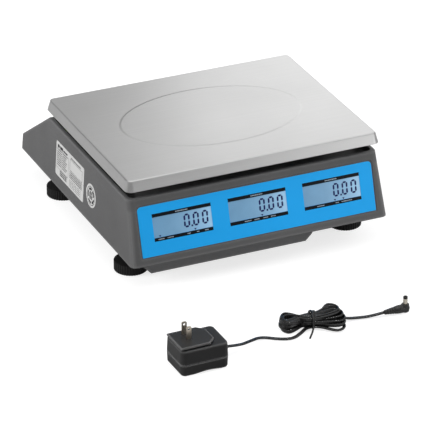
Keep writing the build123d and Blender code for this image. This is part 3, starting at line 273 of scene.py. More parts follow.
# %% Tie
TIE_R = 1.4
TAIL_R = 1.15
tie_route = [
    (1.8, 0.5, 19.0), (0.8, 5.0, 18.6), (-0.2, 10.4, 15.8), (-0.4, 11.0, 9.6), (-0.2, 10.4, 3.4),
    (0.0, 5.5, 1.4), (0.2, -4.5, 1.4), (0.0, -10.6, 3.2), (-0.6, -11.2, 9.6), (-0.4, -10.4, 15.8),
    (0.2, -5.0, 18.7), (1.8, -1.2, 19.6), (4.2, 2.4, 19.4), (3.0, 6.2, 17.2),
]
tie_tail = [(0.6, -8.8, 9.4), (-0.2, -12.4, 6.8), (-2.6, -16.0, 2.0), (-5.6, -21.5, 1.2), (-9.0, -28.5, 1.2)]


def round_section(radius, steps=12):
    turns = [2 * math.pi * i / steps for i in range(steps)]
    return [(radius * MM * math.cos(t), radius * MM * math.sin(t)) for t in turns]


def wire(name, route_name, route, radius):
    """A round wire along points of the hank's own frame."""
    return sweep(name, spline_points(route_name, [on_hank(*p) for p in route]), round_section(radius))


tie = wire("twist_tie", "tie_route", tie_route, TIE_R)
tail = wire("twist_tie_tail", "tie_tail", tie_tail, TAIL_R)
for piece in (tie, tail):
    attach(piece, "housing")
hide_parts("hank_tie")
print("tie", len(tie.data.vertices) + len(tail.data.vertices), "vertices")

# %% [markdown]
# ## The barrel plug
# The plug's body is one soft moulding: a ribbed relief that lets the lead bend, and an elbow that swells out of
# it. Separate shapes of this kind leave a hard line where they meet. Here the relief and the neck are turned as
# two round bodies, joined by a voxel remesh and smoothed, which leaves one closed skin.

# %% Plug body
def lathe(name, profile, base, axis=(0, 0, 1), steps=32):
    """A closed round body on an axis, from (radius, distance along the axis) pairs. All in millimetres."""
    turn = Vector(axis).to_track_quat("Z", "Y")
    vertices = []
    for radius, height in profile:
        for i in range(steps):
            t = 2 * math.pi * i / steps
            corner = Vector((radius * math.cos(t), radius * math.sin(t), height))
            vertices.append((Vector(base) + turn @ corner) * MM)
    return make_object(name, vertices, tube_faces(len(profile), steps))


def fuse(name, parts, voxel, smoothing):
    """Joins closed bodies into one skin and rounds the lines where they meet."""
    vertices, faces = [], []
    for part in parts:
        first = len(vertices)
        vertices += [v.co.copy() for v in part.data.vertices]
        faces += [tuple(first + i for i in p.vertices) for p in part.data.polygons]
        bpy.data.objects.remove(part)
    joined = make_object(name + "_joined", vertices, faces)
    skin = joined.modifiers.new("skin", "REMESH")
    skin.mode = "VOXEL"
    skin.voxel_size = voxel * MM
    smooth = joined.modifiers.new("smooth", "SMOOTH")
    smooth.iterations = smoothing
    bpy.context.view_layer.update()
    mesh = bpy.data.meshes.new_from_object(joined.evaluated_get(bpy.context.evaluated_depsgraph_get()))
    mesh.shade_smooth()
    bpy.data.objects.remove(joined)
    thing = bpy.data.objects.new(name, mesh)
    bpy.context.scene.collection.objects.link(thing)
    return thing


def box_mm(node):
    """A node's lowest and highest corners in millimetres."""
    low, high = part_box(node)
    return Vector(low) / MM, Vector(high) / MM


plug_low, plug_high = box_mm("barrel_plug")
sleeve_low, sleeve_high = box_mm("barrel_sleeve")
plug_y = (plug_low.y + plug_high.y) / 2
neck_x = (sleeve_low.x + sleeve_high.x) / 2
RELIEF_RIBS = 5
RELIEF_LENGTH = 16.0
RIB_STEP = RELIEF_LENGTH / RELIEF_RIBS

relief_profile = []
for rib in range(RELIEF_RIBS):
    start = RIB_STEP * rib
    swell = 2.6 + 1.9 * rib / RELIEF_RIBS
    relief_profile += [(swell - 0.5, start), (swell - 0.5, start + 0.3 * RIB_STEP),
                       (swell + 0.3, start + 0.38 * RIB_STEP), (swell + 0.5, start + 0.98 * RIB_STEP)]
elbow = neck_x - plug_low.x
relief_profile += [(4.9, RELIEF_LENGTH + 1), (5.2, RELIEF_LENGTH + 4), (5.2, elbow), (4.4, elbow + 3.4),
                   (2.6, elbow + 5.0)]
neck_profile = [(3.0, 0.4), (4.6, 1.4), (5.1, 3.0), (5.0, 8.0), (4.7, 10.6), (4.2, 11.3)]
barrel_plug = fuse("plug_body", [
    lathe("relief", relief_profile, (plug_low.x, plug_y, 5.5), (1, 0, 0)),
    lathe("neck", neck_profile, (neck_x, plug_y, 0)),
], voxel=0.3, smoothing=3)
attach(barrel_plug, "housing")
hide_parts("barrel_plug")
print("plug body", len(barrel_plug.data.vertices), "vertices")

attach(cord, "housing")
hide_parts("adapter_lead", "cord_hank", "plug_lead")
[tuple(p) for p in cord_line]

# %% [markdown]
# ## Printed and moulded detail
# The windows, the rating label and the keys carry print. A printed mark is drawn here as a very thin closed
# prism on the surface that it sits on, which keeps its edge sharp at any distance and needs no image. A ray
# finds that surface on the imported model, so that the print lies where the piece really is.

# %% Working frames on the model's faces
def face_frame(node, start, towards, up, lowest_y=None):
    """A flat frame where a ray meets a node. Returns place(u, v, w): right, up and out, in millimetres.

    With lowest_y the frame's origin slides along the face to the middle of the model and to that edge."""
    hit, place, out, _ = nodes[node].ray_cast(Vector(start) * MM, Vector(towards))
    if not hit:
        raise RuntimeError(f"no face of {node} on that ray")
    rise = (Vector(up) - out * out.dot(Vector(up))).normalized()
    across = rise.cross(out)
    if lowest_y is not None:
        place = place + rise * ((lowest_y * MM - place.y) / rise.y)
        place.x = 0.0

    def at(u, v, w=0.0):
        return place + (across * u + rise * v + out * w) * MM
    return at


def height_on(at, node, u, v):
    """How far a node's face stands above a frame at one place, in millimetres; below it is negative."""
    out = (at(0, 0, 1) - at(0, 0, 0)).normalized()
    hit, place, _, _ = nodes[node].ray_cast(at(u, v, 10), -out)
    if not hit:
        raise RuntimeError(f"no face of {node} under {u}, {v}")
    return (place - at(u, v)).dot(out) / MM


def on_frame(at, point):
    """A point's own right and up on a frame, in millimetres."""
    offset = point - at(0, 0)
    return offset.dot(at(1, 0) - at(0, 0)) / MM ** 2, offset.dot(at(0, 1) - at(0, 0)) / MM ** 2


def prisms(name, at, outlines, low, high, body="housing"):
    """Thin closed prisms from flat outlines on a frame, from one height to another."""
    vertices, faces = [], []
    for outline in outlines:
        first, n = len(vertices), len(outline)
        vertices += [at(u, v, low) for u, v in outline] + [at(u, v, high) for u, v in outline]
        faces.append(tuple(range(first, first + n))[::-1])
        faces.append(tuple(range(first + n, first + 2 * n)))
        faces += [(first + i, first + (i + 1) % n, first + n + (i + 1) % n, first + n + i) for i in range(n)]
    thing = make_object(name, vertices, faces, smooth=False)
    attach(thing, body)
    return thing


def bar(u0, v0, u1, v1):
    return [(u0, v0), (u1, v0), (u1, v1), (u0, v1)]


def border(u0, v0, u1, v1, width):
    """Four bars that frame a rectangle, mitred by overlap."""
    return [bar(u0, v0, u1, v0 + width), bar(u0, v1 - width, u1, v1),
            bar(u0, v0 + width, u0 + width, v1 - width), bar(u1 - width, v0 + width, u1, v1 - width)]


# How far ink stands off the film below it, and how far outside the model a searching ray starts
INK_GAP = 0.01
RAY_START = 50
MARK_WIDTHS = (1.3, 0.9, 1.5, 1.1, 0.8, 1.4)
MARK_GAP = 0.45


def marks(u, v, length, height, first=0):
    """A row of small blocks that stands where lettering would be, without saying anything."""
    row, place, i = [], u, first
    while place < u + length - 0.4:
        width = min(MARK_WIDTHS[i % len(MARK_WIDTHS)], u + length - place)
        row.append(bar(place, v, place + width, v + height))
        place += width + MARK_GAP
        i += 1
    return row


print("helpers for print are ready")

# %% [markdown]
# ## Display figures
# Each window shows three seven-segment figures. The segments of a real liquid crystal panel are thin hexagons
# that lean a little and don't quite touch, so each one is drawn as a hexagon of its own, under the film.

# %% Seven-segment figures
WINDOW_WIDTH = 76.9
WINDOW_HEIGHT = 25.4
STRIP_HEIGHT = 4.3
FIGURE_WIDTH = 8.0
FIGURE_HEIGHT = 16.8
FIGURE_PITCH = 12.0
FIGURE_MARGIN = 4.4
FIGURE_FOOT = 5.3
SEGMENT = 2.3
SEGMENT_GAP = 0.35
FIGURE_LEAN = 0.035


def hexagon(x0, y0, x1, y1, width):
    """A bar between two points, pointed at both ends."""
    start, end = Vector((x0, y0)), Vector((x1, y1))
    along = (end - start).normalized()
    side = Vector((-along.y, along.x)) * width / 2
    nose = along * width / 2
    ring = [start, start + nose - side, end - nose - side, end, end - nose + side, start + nose + side]
    return [(p.x, p.y) for p in ring]


def zero_figure(u, v):
    """The six outer segments of a seven-segment figure, from its lower left corner."""
    left, right = SEGMENT / 2, FIGURE_WIDTH - SEGMENT / 2
    low, middle, high = SEGMENT / 2, FIGURE_HEIGHT / 2, FIGURE_HEIGHT - SEGMENT / 2
    gap = SEGMENT_GAP
    strokes = [(left + gap, low, right - gap, low), (left + gap, high, right - gap, high)]
    for x in (left, right):
        strokes += [(x, low + gap, x, middle - gap), (x, middle + gap, x, high - gap)]
    outlines = [hexagon(*stroke, SEGMENT) for stroke in strokes]
    return [[(u + x + FIGURE_LEAN * y, v + y) for x, y in outline] for outline in outlines]


def window_figures(u, v):
    """0.00 against the right end of a window whose middle is at (u, v), with its decimal point."""
    right = u + WINDOW_WIDTH / 2 - FIGURE_MARGIN
    foot = v - WINDOW_HEIGHT / 2 + FIGURE_FOOT
    outlines = []
    for place in range(3):
        outlines += zero_figure(right - FIGURE_WIDTH - place * FIGURE_PITCH - FIGURE_LEAN * FIGURE_HEIGHT, foot)
    point = right - 2 * FIGURE_PITCH + 0.9
    outlines.append(bar(point, foot, point + 2.2, foot + 2.2))
    return outlines


def pointer(u, v):
    """A small triangle that points at a mark on the strip below."""
    return [(u - 1.6, v + 2.2), (u, v), (u + 1.6, v + 2.2)]


print("a figure has", len(zero_figure(0, 0)), "segments")

# %% [markdown]
# Each window has a black strip above and below it, with small marks where lettering would be. A pointer in
# the glass stands over one of the marks. Both sides of the scale have the same row of three windows, so one
# function draws them all.

# %% Windows of the customer panel
PANEL_PITCH = 99.5
PANEL_WINDOW_UP = 34.2

# Marks on the strip under each window, as start and length from its left end, and what the pointers show
UNDER_MARKS = [[(5, 8), (17, 8), (43, 4), (55.5, 3), (66, 5)], [(19, 9), (32, 7), (44, 6), (54, 7)],
               [(17, 10), (42, 4), (50, 14)]]
POINTERS = [[7.7, 54], [43], [41.6, 53]]


def print_windows(side, at, window_up):
    """Black strips, their marks and the figures of three windows in a row. Returns the three pieces."""
    glass = height_on(at, side + "_displays", 0, window_up)
    top, bottom = window_up + WINDOW_HEIGHT / 2, window_up - WINDOW_HEIGHT / 2
    strips, strip_marks, figures = [], [], []
    for column in range(3):
        middle = (column - 1) * PANEL_PITCH
        left, right = middle - WINDOW_WIDTH / 2, middle + WINDOW_WIDTH / 2
        strips.append(bar(left, top, right, top + STRIP_HEIGHT))
        strips.append(bar(left, bottom - STRIP_HEIGHT, right, bottom))
        strip_marks += marks(middle - 8, top + 1.5, 16, 1.3, column)
        for start, length in UNDER_MARKS[column]:
            strip_marks += marks(left + start, bottom - 2.8, length, 1.2, column + 1)
        figures += window_figures(middle, window_up)
        figures += [pointer(left + u, bottom + 0.3) for u in POINTERS[column]]
    pieces = [prisms(side + "_strips", at, strips, INK_GAP, 0.05),
              prisms(side + "_strip_marks", at, strip_marks, 0.06, 0.09),
              prisms(side + "_figures", at, figures, glass + 0.02, glass + 0.07)]
    print(side, "windows:", len(figures), "segments,", round(glass, 2), "mm from the film's face")
    return pieces


low, high = box_mm("customer_overlay")
between_windows = (PANEL_PITCH / 2, low.y - RAY_START, (low.z + high.z) / 2)
panel = face_frame("customer_overlay", between_windows, (0, 1, 0), (0, 0, 1), lowest_y=low.y)
panel_print = print_windows("customer", panel, PANEL_WINDOW_UP)

# %% [markdown]
# ## Operator console
# The far side has the same three windows with the keys below them. The print there groups the keys with
# thin pale lines, and each key has one sign: the figures, and a few signs that any calculator has.

# %% Operator console
CONSOLE_WINDOW_DOWN = 20.0

low, high = box_mm("operator_overlay")
beside_keys = (PANEL_PITCH / 2, (low.y + high.y) / 2 + 10, high.z + RAY_START)
console = face_frame("operator_overlay", beside_keys, (0, 0, -1), (0, 0, 1), lowest_y=high.y)
console_height = (high.z - console(0, 0).z / MM) / ((console(0, 1) - console(0, 0)).z / MM)
console_print = print_windows("operator", console, console_height - CONSOLE_WINDOW_DOWN)


def key_place(key):
    """A key's middle on the console's own frame, right and up."""
    low, high = box_mm(key)
    return on_frame(console, (low + high) / 2 * MM)


KEY_HALF_HEIGHT = 5.3
KEY_SIGN_SIZE = 8.5
GROUP_MARGIN_ACROSS = 3
GROUP_MARGIN_UP = 2.4
GROUP_LINE = 0.5
group_lines = []
for first, last, half in (("key_7", "key_point", 12.0), ("key_zero", "key_total", 17.0)):
    u0, v0 = key_place(first)
    u1, v1 = key_place(last)
    group_lines += border(min(u0, u1) - half - GROUP_MARGIN_ACROSS,
                          min(v0, v1) - KEY_HALF_HEIGHT - GROUP_MARGIN_UP,
                          max(u0, u1) + half + GROUP_MARGIN_ACROSS,
                          max(v0, v1) + KEY_HALF_HEIGHT + GROUP_MARGIN_UP, GROUP_LINE)
console_lines = prisms("operator_key_lines", console, group_lines, INK_GAP, 0.05)


def text_mesh(text, size):
    """Vertices and faces of a short text with its middle at the origin, in millimetres."""
    data = bpy.data.curves.new("text", "FONT")
    data.body = text
    data.size = size
    data.extrude = 0.03
    data.align_x = "CENTER"
    data.align_y = "CENTER"
    data.resolution_u = 4
    holder = bpy.data.objects.new("text", data)
    bpy.context.scene.collection.objects.link(holder)
    bpy.context.view_layer.update()
    mesh = bpy.data.meshes.new_from_object(holder)
    bpy.data.objects.remove(holder)
    return [v.co.copy() for v in mesh.vertices], [tuple(p.vertices) for p in mesh.polygons]


key_signs = {**{f"key_{n}": str(n) for n in range(10)}, "key_point": ".", "key_clear": "C",
             "key_zero": "\u2192 0 \u2190", "key_tare": "T", "key_add": "+", "key_total": "="}
legends = []
for key, sign in key_signs.items():
    u, v = key_place(key)
    top = height_on(console, key, u, v)
    vertices, faces = text_mesh(sign, KEY_SIGN_SIZE)
    vertices = [console(u + p.x, v + p.y, top + 0.03 + p.z) for p in vertices]
    legend = make_object(key.replace("key", "sign"), vertices, faces, smooth=False)
    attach(legend, key)
    legends.append(legend)
print("console:", len(legends), "signs on keys,", round(console_height, 1), "mm high")

# %% [markdown]
# ## Rating label and round sticker
# The left wall carries a pale label and a round sticker. Their films are already there. What is printed on
# them is generic: rows of small blocks, rules, an empty framed box and a plain ring.

# %% Left wall
low, high = box_mm("side_labels")
LABEL_LENGTH = 91.0
LABEL_HEIGHT = 46.0
STICKER_R = 15.2
STICKER_Z = 73.2
label_middle = (low.x - RAY_START, high.y - LABEL_LENGTH / 2, (low.z + high.z) / 2)
label = face_frame("side_labels", label_middle, (1, 0, 0), (0, 0, 1))

label_lines = []
label_lines += bar(-41, 15.5, -35, 19.5), bar(-33.5, 15.5, -24, 19.5), bar(-22.5, 16.2, -9, 18.4)
for row in range(8):
    v = 12.2 - 2.9 * row
    label_lines += marks(-41, v, 14, 1.3, row)
    label_lines += marks(-24, v, 15 - 2.2 * (row % 3), 1.3, row + 2)
label_lines += border(-42.5, -12.2, -4.5, 14.6, 0.35)
label_lines.append(bar(-25.6, -12.0, -25.2, 14.4))
for row in range(3):
    label_lines += marks(-31, -14.6 - 2.6 * row, 22, 1.7, row * 2)
label_lines += marks(2, 17.6, 32, 1.6, 1)
label_lines += border(0, 1.5, 40, 16.2, 0.45)
for row in range(4):
    label_lines += marks(0, -1.2 - 2.5 * row, 40, 1.3, row)
grid_low, grid_high = -20.0, -11.6
for line in range(8):
    u = 5.0 * line + 0.4
    label_lines.append(bar(u, grid_low, u + 0.35, grid_high))
for line in range(4):
    v = grid_low + (grid_high - grid_low) * line / 3
    label_lines.append(bar(0.4, v, 35.8, v + 0.35))
label_print = prisms("label_print", label, label_lines, INK_GAP, 0.04)


def ring_of(u, v, inner, outer, steps=48, start=0.0, turn=1.0):
    """A flat ring or a stretch of one, as small four-sided outlines."""
    outlines = []
    for i in range(steps):
        a, b = (2 * math.pi * (start + turn * (i + k) / steps) for k in (0, 1))
        outlines.append([(u + r * math.cos(t), v + r * math.sin(t)) for r, t in
                         ((inner, a), (outer, a), (outer, b), (inner, b))])
    return outlines


sticker_u, sticker_v = on_frame(label, Vector((low.x, low.y + STICKER_R, STICKER_Z)) * MM)
sticker_lines = ring_of(sticker_u, sticker_v, 11.6, 12.4)
for part in range(5):
    sticker_lines += ring_of(sticker_u, sticker_v, 7.4, 10.4, 7, part / 5 + 0.02, 0.15)
for row in range(5):
    half = 5.8 - 0.8 * abs(row - 2)
    sticker_lines += marks(sticker_u - half, sticker_v + 3.8 - 2.1 * row, 2 * half, 1.7, row)
sticker_print = prisms("sticker_print", label, sticker_lines, INK_GAP, 0.04)
print("label:", len(label_lines), "marks; sticker:", len(sticker_lines))

# %% [markdown]
# ## Switch signs and level bubble
# The rocker shows a stroke and a ring, one on each half, so each sign lies on the slope that carries it.

# %% Rocker signs
low, high = box_mm("power_switch_rocker")
rocker_z = (low.z + high.z) / 2
quarter = (high.y - low.y) / 4
stroke_face, ring_face = (
    face_frame("power_switch_rocker", (high.x + RAY_START, y, rocker_z), (-1, 0, 0), (0, 0, 1))
    for y in (low.y + quarter, high.y - quarter))
stroke_sign = prisms("rocker_stroke", stroke_face, [bar(-0.4, -2.2, 0.4, 2.2)], INK_GAP, 0.06, body="rocker")
ring_sign = prisms("rocker_ring", ring_face, ring_of(0, 0, 1.4, 2.1, 32), INK_GAP, 0.06, body="rocker")
print("rocker signs:", stroke_sign.name, "and", ring_sign.name)

# %% [markdown]
# The bubble level in the tray gets its black circle and its air bubble, which show when the platter is off.
# A real bubble is a flat dome, so a short profile is turned about an upright axis.

# %% Level bubble
low, high = box_mm("bubble_level")
level_x, level_y = (low.x + high.x) / 2, (low.y + high.y) / 2
level_face = face_frame("bubble_level", (level_x, level_y, high.z + RAY_START), (0, 0, -1), (0, 1, 0))
level_ring = prisms("level_ring", level_face, ring_of(0, 0, 3.0, 3.5) + ring_of(0, 0, 7.2, 8.6), INK_GAP, 0.08)
level_bubble = lathe("level_bubble", [(0.4, 0.62), (1.2, 0.58), (1.9, 0.42), (2.3, 0.2), (2.4, 0.02)][::-1],
                     (level_x + 0.5, level_y - 0.4, high.z))
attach(level_bubble, "housing")
print("level bubble at", round(level_x, 1), round(level_y, 1))

# %% [markdown]
# ## The studio
# The counter is one large flat pale sheet. It is plain white to the camera and a quiet grey to everything else,
# so the object keeps its shadow and its own colours.

# %% Counter
def add_math(tree, operation, first, second):
    """A math node on two inputs, each a socket or a number."""
    node = tree.nodes.new("ShaderNodeMath")
    node.operation = operation
    for socket, value in zip(node.inputs, (first, second)):
        if isinstance(value, (int, float)):
            socket.default_value = value
        else:
            tree.links.new(value, socket)
    return node.outputs[0]


COUNTER_TONE = 0.36
COUNTER_GLOW = 0.74
COUNTER_SHINE = 0.03
COUNTER_HALF = 6.0


def studio_sheet():
    mesh = bpy.data.meshes.new("counter")
    corners = [(x * COUNTER_HALF, y * COUNTER_HALF, 0) for x, y in ((-1, -1), (1, -1), (1, 1), (-1, 1))]
    mesh.from_pydata(corners, [], [(0, 1, 2, 3)])
    sheet = bpy.data.objects.new("counter", mesh)
    bpy.context.scene.collection.objects.link(sheet)
    material = bpy.data.materials.new("counter_sheet")
    material.use_nodes = True
    tree = material.node_tree
    shader = tree.nodes["Principled BSDF"]
    shader.inputs["Base Color"].default_value = (COUNTER_TONE, COUNTER_TONE, COUNTER_TONE, 1)
    shader.inputs["Roughness"].default_value = 0.9
    shader.inputs["Specular IOR Level"].default_value = 0.0
    shader.inputs["Emission Color"].default_value = (1, 1, 1, 1)
    path = tree.nodes.new("ShaderNodeLightPath")
    seen = add_math(tree, "MULTIPLY", path.outputs["Is Camera Ray"], COUNTER_GLOW)
    mirrored = add_math(tree, "MULTIPLY", path.outputs["Is Glossy Ray"], COUNTER_SHINE)
    tree.links.new(add_math(tree, "ADD", seen, mirrored), shader.inputs["Emission Strength"])
    mesh.materials.append(material)
    return sheet


counter = studio_sheet()
print(counter.name, "is", 2 * COUNTER_HALF, "m wide")

# %% [markdown]
# Three large soft boxes, on the left, on the right and above, light the object. They are hidden from mirrors:
# the steel platter would clip to white from some sides if it mirrored them. It mirrors two small boxes and a
# sky that pales upwards instead. A narrow spot is aimed at the black lead, so that its strands show apart.

# %% Light
def soft_box(name, place, aim, size, power, mirrored=True):
    """A lamp that the camera never sees. Steel mirrors it too unless mirrored is off."""
    data = bpy.data.lights.new(name, "AREA")
    data.shape = "RECTANGLE"
    data.size, data.size_y = size
    data.energy = power
    lamp = bpy.data.objects.new(name, data)
    lamp.location = place
    lamp.rotation_euler = (Vector(aim) - Vector(place)).to_track_quat("-Z", "Y").to_euler()
    lamp.visible_camera = False
    lamp.visible_glossy = mirrored
    bpy.context.scene.collection.objects.link(lamp)
    return lamp


SURROUND = 0.25
MIRRORED_LOW = 0.18
MIRRORED_HIGH = 1.05


def lead_spot(place, aim, spread, power):
    """A narrow spot aimed at the black lead, for thin bright lines along it. Spread is in degrees."""
    data = bpy.data.lights.new("lead_spot", "SPOT")
    data.spot_size = math.radians(spread)
    data.spot_blend = 0.6
    data.shadow_soft_size = 0.04
    data.energy = power
    lamp = bpy.data.objects.new("lead_spot", data)
    lamp.location = place
    lamp.rotation_euler = (Vector(aim) - Vector(place)).to_track_quat("-Z", "Y").to_euler()
    lamp.visible_camera = False
    bpy.context.scene.collection.objects.link(lamp)


def studio_world():
    """White to the camera, an even grey as light, and a sky that pales upwards in anything glossy."""
    world = bpy.data.worlds.new("studio")
    bpy.context.scene.world = world
    world.use_nodes = True
    tree = world.node_tree
    path = tree.nodes.new("ShaderNodeLightPath")
    place = tree.nodes.new("ShaderNodeTexCoord")
    split = tree.nodes.new("ShaderNodeSeparateXYZ")
    tree.links.new(place.outputs["Generated"], split.inputs[0])
    sky = tree.nodes.new("ShaderNodeMapRange")
    sky.inputs["To Min"].default_value = MIRRORED_LOW
    sky.inputs["To Max"].default_value = MIRRORED_HIGH
    height = split.outputs["Z"]
    tree.links.new(add_math(tree, "MULTIPLY", height, height), sky.inputs["Value"])
    above_surround = add_math(tree, "SUBTRACT", sky.outputs[0], SURROUND)
    mirrored = add_math(tree, "MULTIPLY", path.outputs["Is Glossy Ray"], above_surround)
    seen = add_math(tree, "MULTIPLY", path.outputs["Is Camera Ray"], 1 - SURROUND)
    total = add_math(tree, "ADD", add_math(tree, "ADD", mirrored, seen), SURROUND)
    tree.links.new(total, tree.nodes["Background"].inputs["Strength"])
    tree.nodes["Background"].inputs["Color"].default_value = (1, 1, 1, 1)


SCALE_MIDDLE = (0, 0, 0.1)
studio_world()
soft_box("left_box", (-2.5, 0.5, 1.1), SCALE_MIDDLE, (1.4, 1.4), 74, mirrored=False)
soft_box("right_box", (1.9, -1.1, 1.5), SCALE_MIDDLE, (2.2, 2.2), 50, mirrored=False)
soft_box("top_box", (-0.3, -0.5, 2.6), SCALE_MIDDLE, (3.2, 3.2), 37, mirrored=False)
soft_box("back_box", (1.0, 1.0, 0.7), (0.1, 0, 0.14), (1.2, 0.8), 2.3)
soft_box("low_box", (1.05, -1.4, 0.32), (0.1, -0.1, 0.12), (0.9, 0.5), 1.8)
lead_spot((0.0, -0.75, 1.4), (-0.045, -0.375, 0.0), 14, 8)
bpy.context.scene.view_settings.view_transform = "Standard"

# %% [markdown]
# ## Finishes
# Every finish is a small node tree on the Principled shader. What is the same all over is set on the shader's
# own sockets. What varies, such as grain or streaks, comes from noise that is laid out in the object's own
# coordinates, so that it travels with a moving piece.

# %% Helpers for finishes
def finish(name, colour, roughness, metallic=0.0, **sockets):
    """A new material with the plain values on its shader. Returns the material, its tree and its shader."""
    material = bpy.data.materials.new(name)
    material.use_nodes = True
    tree = material.node_tree
    shader = tree.nodes["Principled BSDF"]
    shader.inputs["Base Color"].default_value = (*colour, 1)
    shader.inputs["Roughness"].default_value = roughness
    shader.inputs["Metallic"].default_value = metallic
    for socket, value in sockets.items():
        shader.inputs[socket.replace("_", " ")].default_value = value
    return material, tree, shader


def noise(tree, scale, stretch=(1, 1, 1), detail=3.0):
    """Noise in object coordinates, stretched along an axis by a small number there."""
    place = tree.nodes.new("ShaderNodeTexCoord")
    mapping = tree.nodes.new("ShaderNodeMapping")
    mapping.inputs["Scale"].default_value = stretch
    texture = tree.nodes.new("ShaderNodeTexNoise")
    texture.inputs["Scale"].default_value = scale
    texture.inputs["Detail"].default_value = detail
    tree.links.new(place.outputs["Object"], mapping.inputs["Vector"])
    tree.links.new(mapping.outputs["Vector"], texture.inputs["Vector"])
    return texture.outputs["Fac"]


def between(tree, source, low, high, start=0.3, stop=0.7):
    """Maps a 0 to 1 value on to the range low to high."""
    spread = tree.nodes.new("ShaderNodeMapRange")
    spread.inputs["From Min"].default_value = start
    spread.inputs["From Max"].default_value = stop
    spread.inputs["To Min"].default_value = low
    spread.inputs["To Max"].default_value = high
    tree.links.new(source, spread.inputs["Value"])
    return spread.outputs["Result"]


def blend_colours(tree, share, first, second):
    """Mixes two colours, each a tuple or a socket."""
    mix = tree.nodes.new("ShaderNodeMix")
    mix.data_type = "RGBA"
    for socket, value in (("A", first), ("B", second)):
        if isinstance(value, tuple):
            mix.inputs[socket].default_value = (*value, 1)
        else:
            tree.links.new(value, mix.inputs[socket])
    tree.links.new(share, mix.inputs["Factor"])
    return mix.outputs["Result"]


def rounded_normal(tree, radius):
    """The surface's normal as if its edges were rounded to a radius in millimetres."""
    bevel = tree.nodes.new("ShaderNodeBevel")
    bevel.samples = 4
    bevel.inputs["Radius"].default_value = radius * MM
    return bevel.outputs["Normal"]


def edge_share(tree, radius):
    """1 along edges and 0 on flat places: where the rounded normal leaves the true one."""
    geometry = tree.nodes.new("ShaderNodeNewGeometry")
    dot = tree.nodes.new("ShaderNodeVectorMath")
    dot.operation = "DOT_PRODUCT"
    tree.links.new(rounded_normal(tree, radius), dot.inputs[0])
    tree.links.new(geometry.outputs["Normal"], dot.inputs[1])
    return between(tree, dot.outputs["Value"], 1.0, 0.0, 0.90, 0.998)


def raise_bump(tree, shader, height, strength, distance, edge=0.0):
    """Relief from a height value in millimetres, on edges rounded to a radius."""
    bump = tree.nodes.new("ShaderNodeBump")
    bump.inputs["Strength"].default_value = strength
    bump.inputs["Distance"].default_value = distance * MM
    tree.links.new(height, bump.inputs["Height"])
    if edge:
        tree.links.new(rounded_normal(tree, edge), bump.inputs["Normal"])
    tree.links.new(bump.outputs["Normal"], shader.inputs["Normal"])


def moulded(name, colour, roughness, grain_mm=0.6, strength=0.25, tone=0.1, edge=0.5, edge_wear_and_highlight=0.25, **sockets):
    """Injection moulding: a fine spark-eroded grain, a faint cloud in its tone, and soft edges with a lighter
    band painted along them, partly wear and partly a painted highlight."""
    material, tree, shader = finish(name, colour, roughness, **sockets)
    cloud = between(tree, noise(tree, 14, detail=4), 0, 1)
    lighter = tuple(min(1.0, c * (1 + tone)) for c in colour)
    darker = tuple(c * (1 - tone) for c in colour)
    body = blend_colours(tree, cloud, darker, lighter)
    # The lighter band along the edges is partly wear and partly a painted highlight, standing in for the light
    # that rounded edges catch.
    if edge_wear_and_highlight:
        wear_and_highlight_tone = tuple(min(1.0, c * (1 + edge_wear_and_highlight) + 0.01 * edge_wear_and_highlight) for c in colour)
        body = blend_colours(tree, edge_share(tree, 3 * edge), body, wear_and_highlight_tone)
    tree.links.new(body, shader.inputs["Base Color"])
    grain = noise(tree, 1000 / grain_mm, detail=1)
    tree.links.new(between(tree, grain, roughness - 0.06, roughness + 0.08), shader.inputs["Roughness"])
    raise_bump(tree, shader, grain, strength, 0.1, edge)
    return material


def wear(node_names, material):
    """Puts one material on CAD nodes."""
    for name in node_names:
        slots = nodes[name].material_slots
        if not slots:
            nodes[name].data.materials.append(material)
        for slot in slots:
            slot.material = material


def brushed(name, colour, roughness, stretch, contrast=0.04, edge=0.4, strength=0.1):
    """Brushed metal: long fine streaks in the tone, the roughness and the relief."""
    material, tree, shader = finish(name, colour, roughness, metallic=1.0)
    streaks = noise(tree, 1.0, stretch, detail=5)
    smudge = noise(tree, 9, detail=3)
    low = tuple(c * (1 - contrast) for c in colour)
    tree.links.new(blend_colours(tree, between(tree, streaks, 0, 1), low, colour), shader.inputs["Base Color"])
    fine = between(tree, streaks, -0.03, 0.03)
    broad = between(tree, smudge, roughness - 0.02, roughness + 0.03)
    tree.links.new(add_math(tree, "ADD", fine, broad), shader.inputs["Roughness"])
    raise_bump(tree, shader, streaks, strength, 0.03, edge)
    return material


print("helpers for finishes are ready")

# %% [markdown]
# The backlit glass is brighter towards its right end, where the lamp sits. The ramp is laid out along each
# window, so the three windows of a side share one material.

# %% Backlit glass
BACKLIGHT = [(0.12, (0.150, 0.322, 0.508)), (0.40, (0.175, 0.352, 0.540)), (0.68, (0.240, 0.440, 0.650)),
             (0.88, (0.330, 0.570, 0.800))]


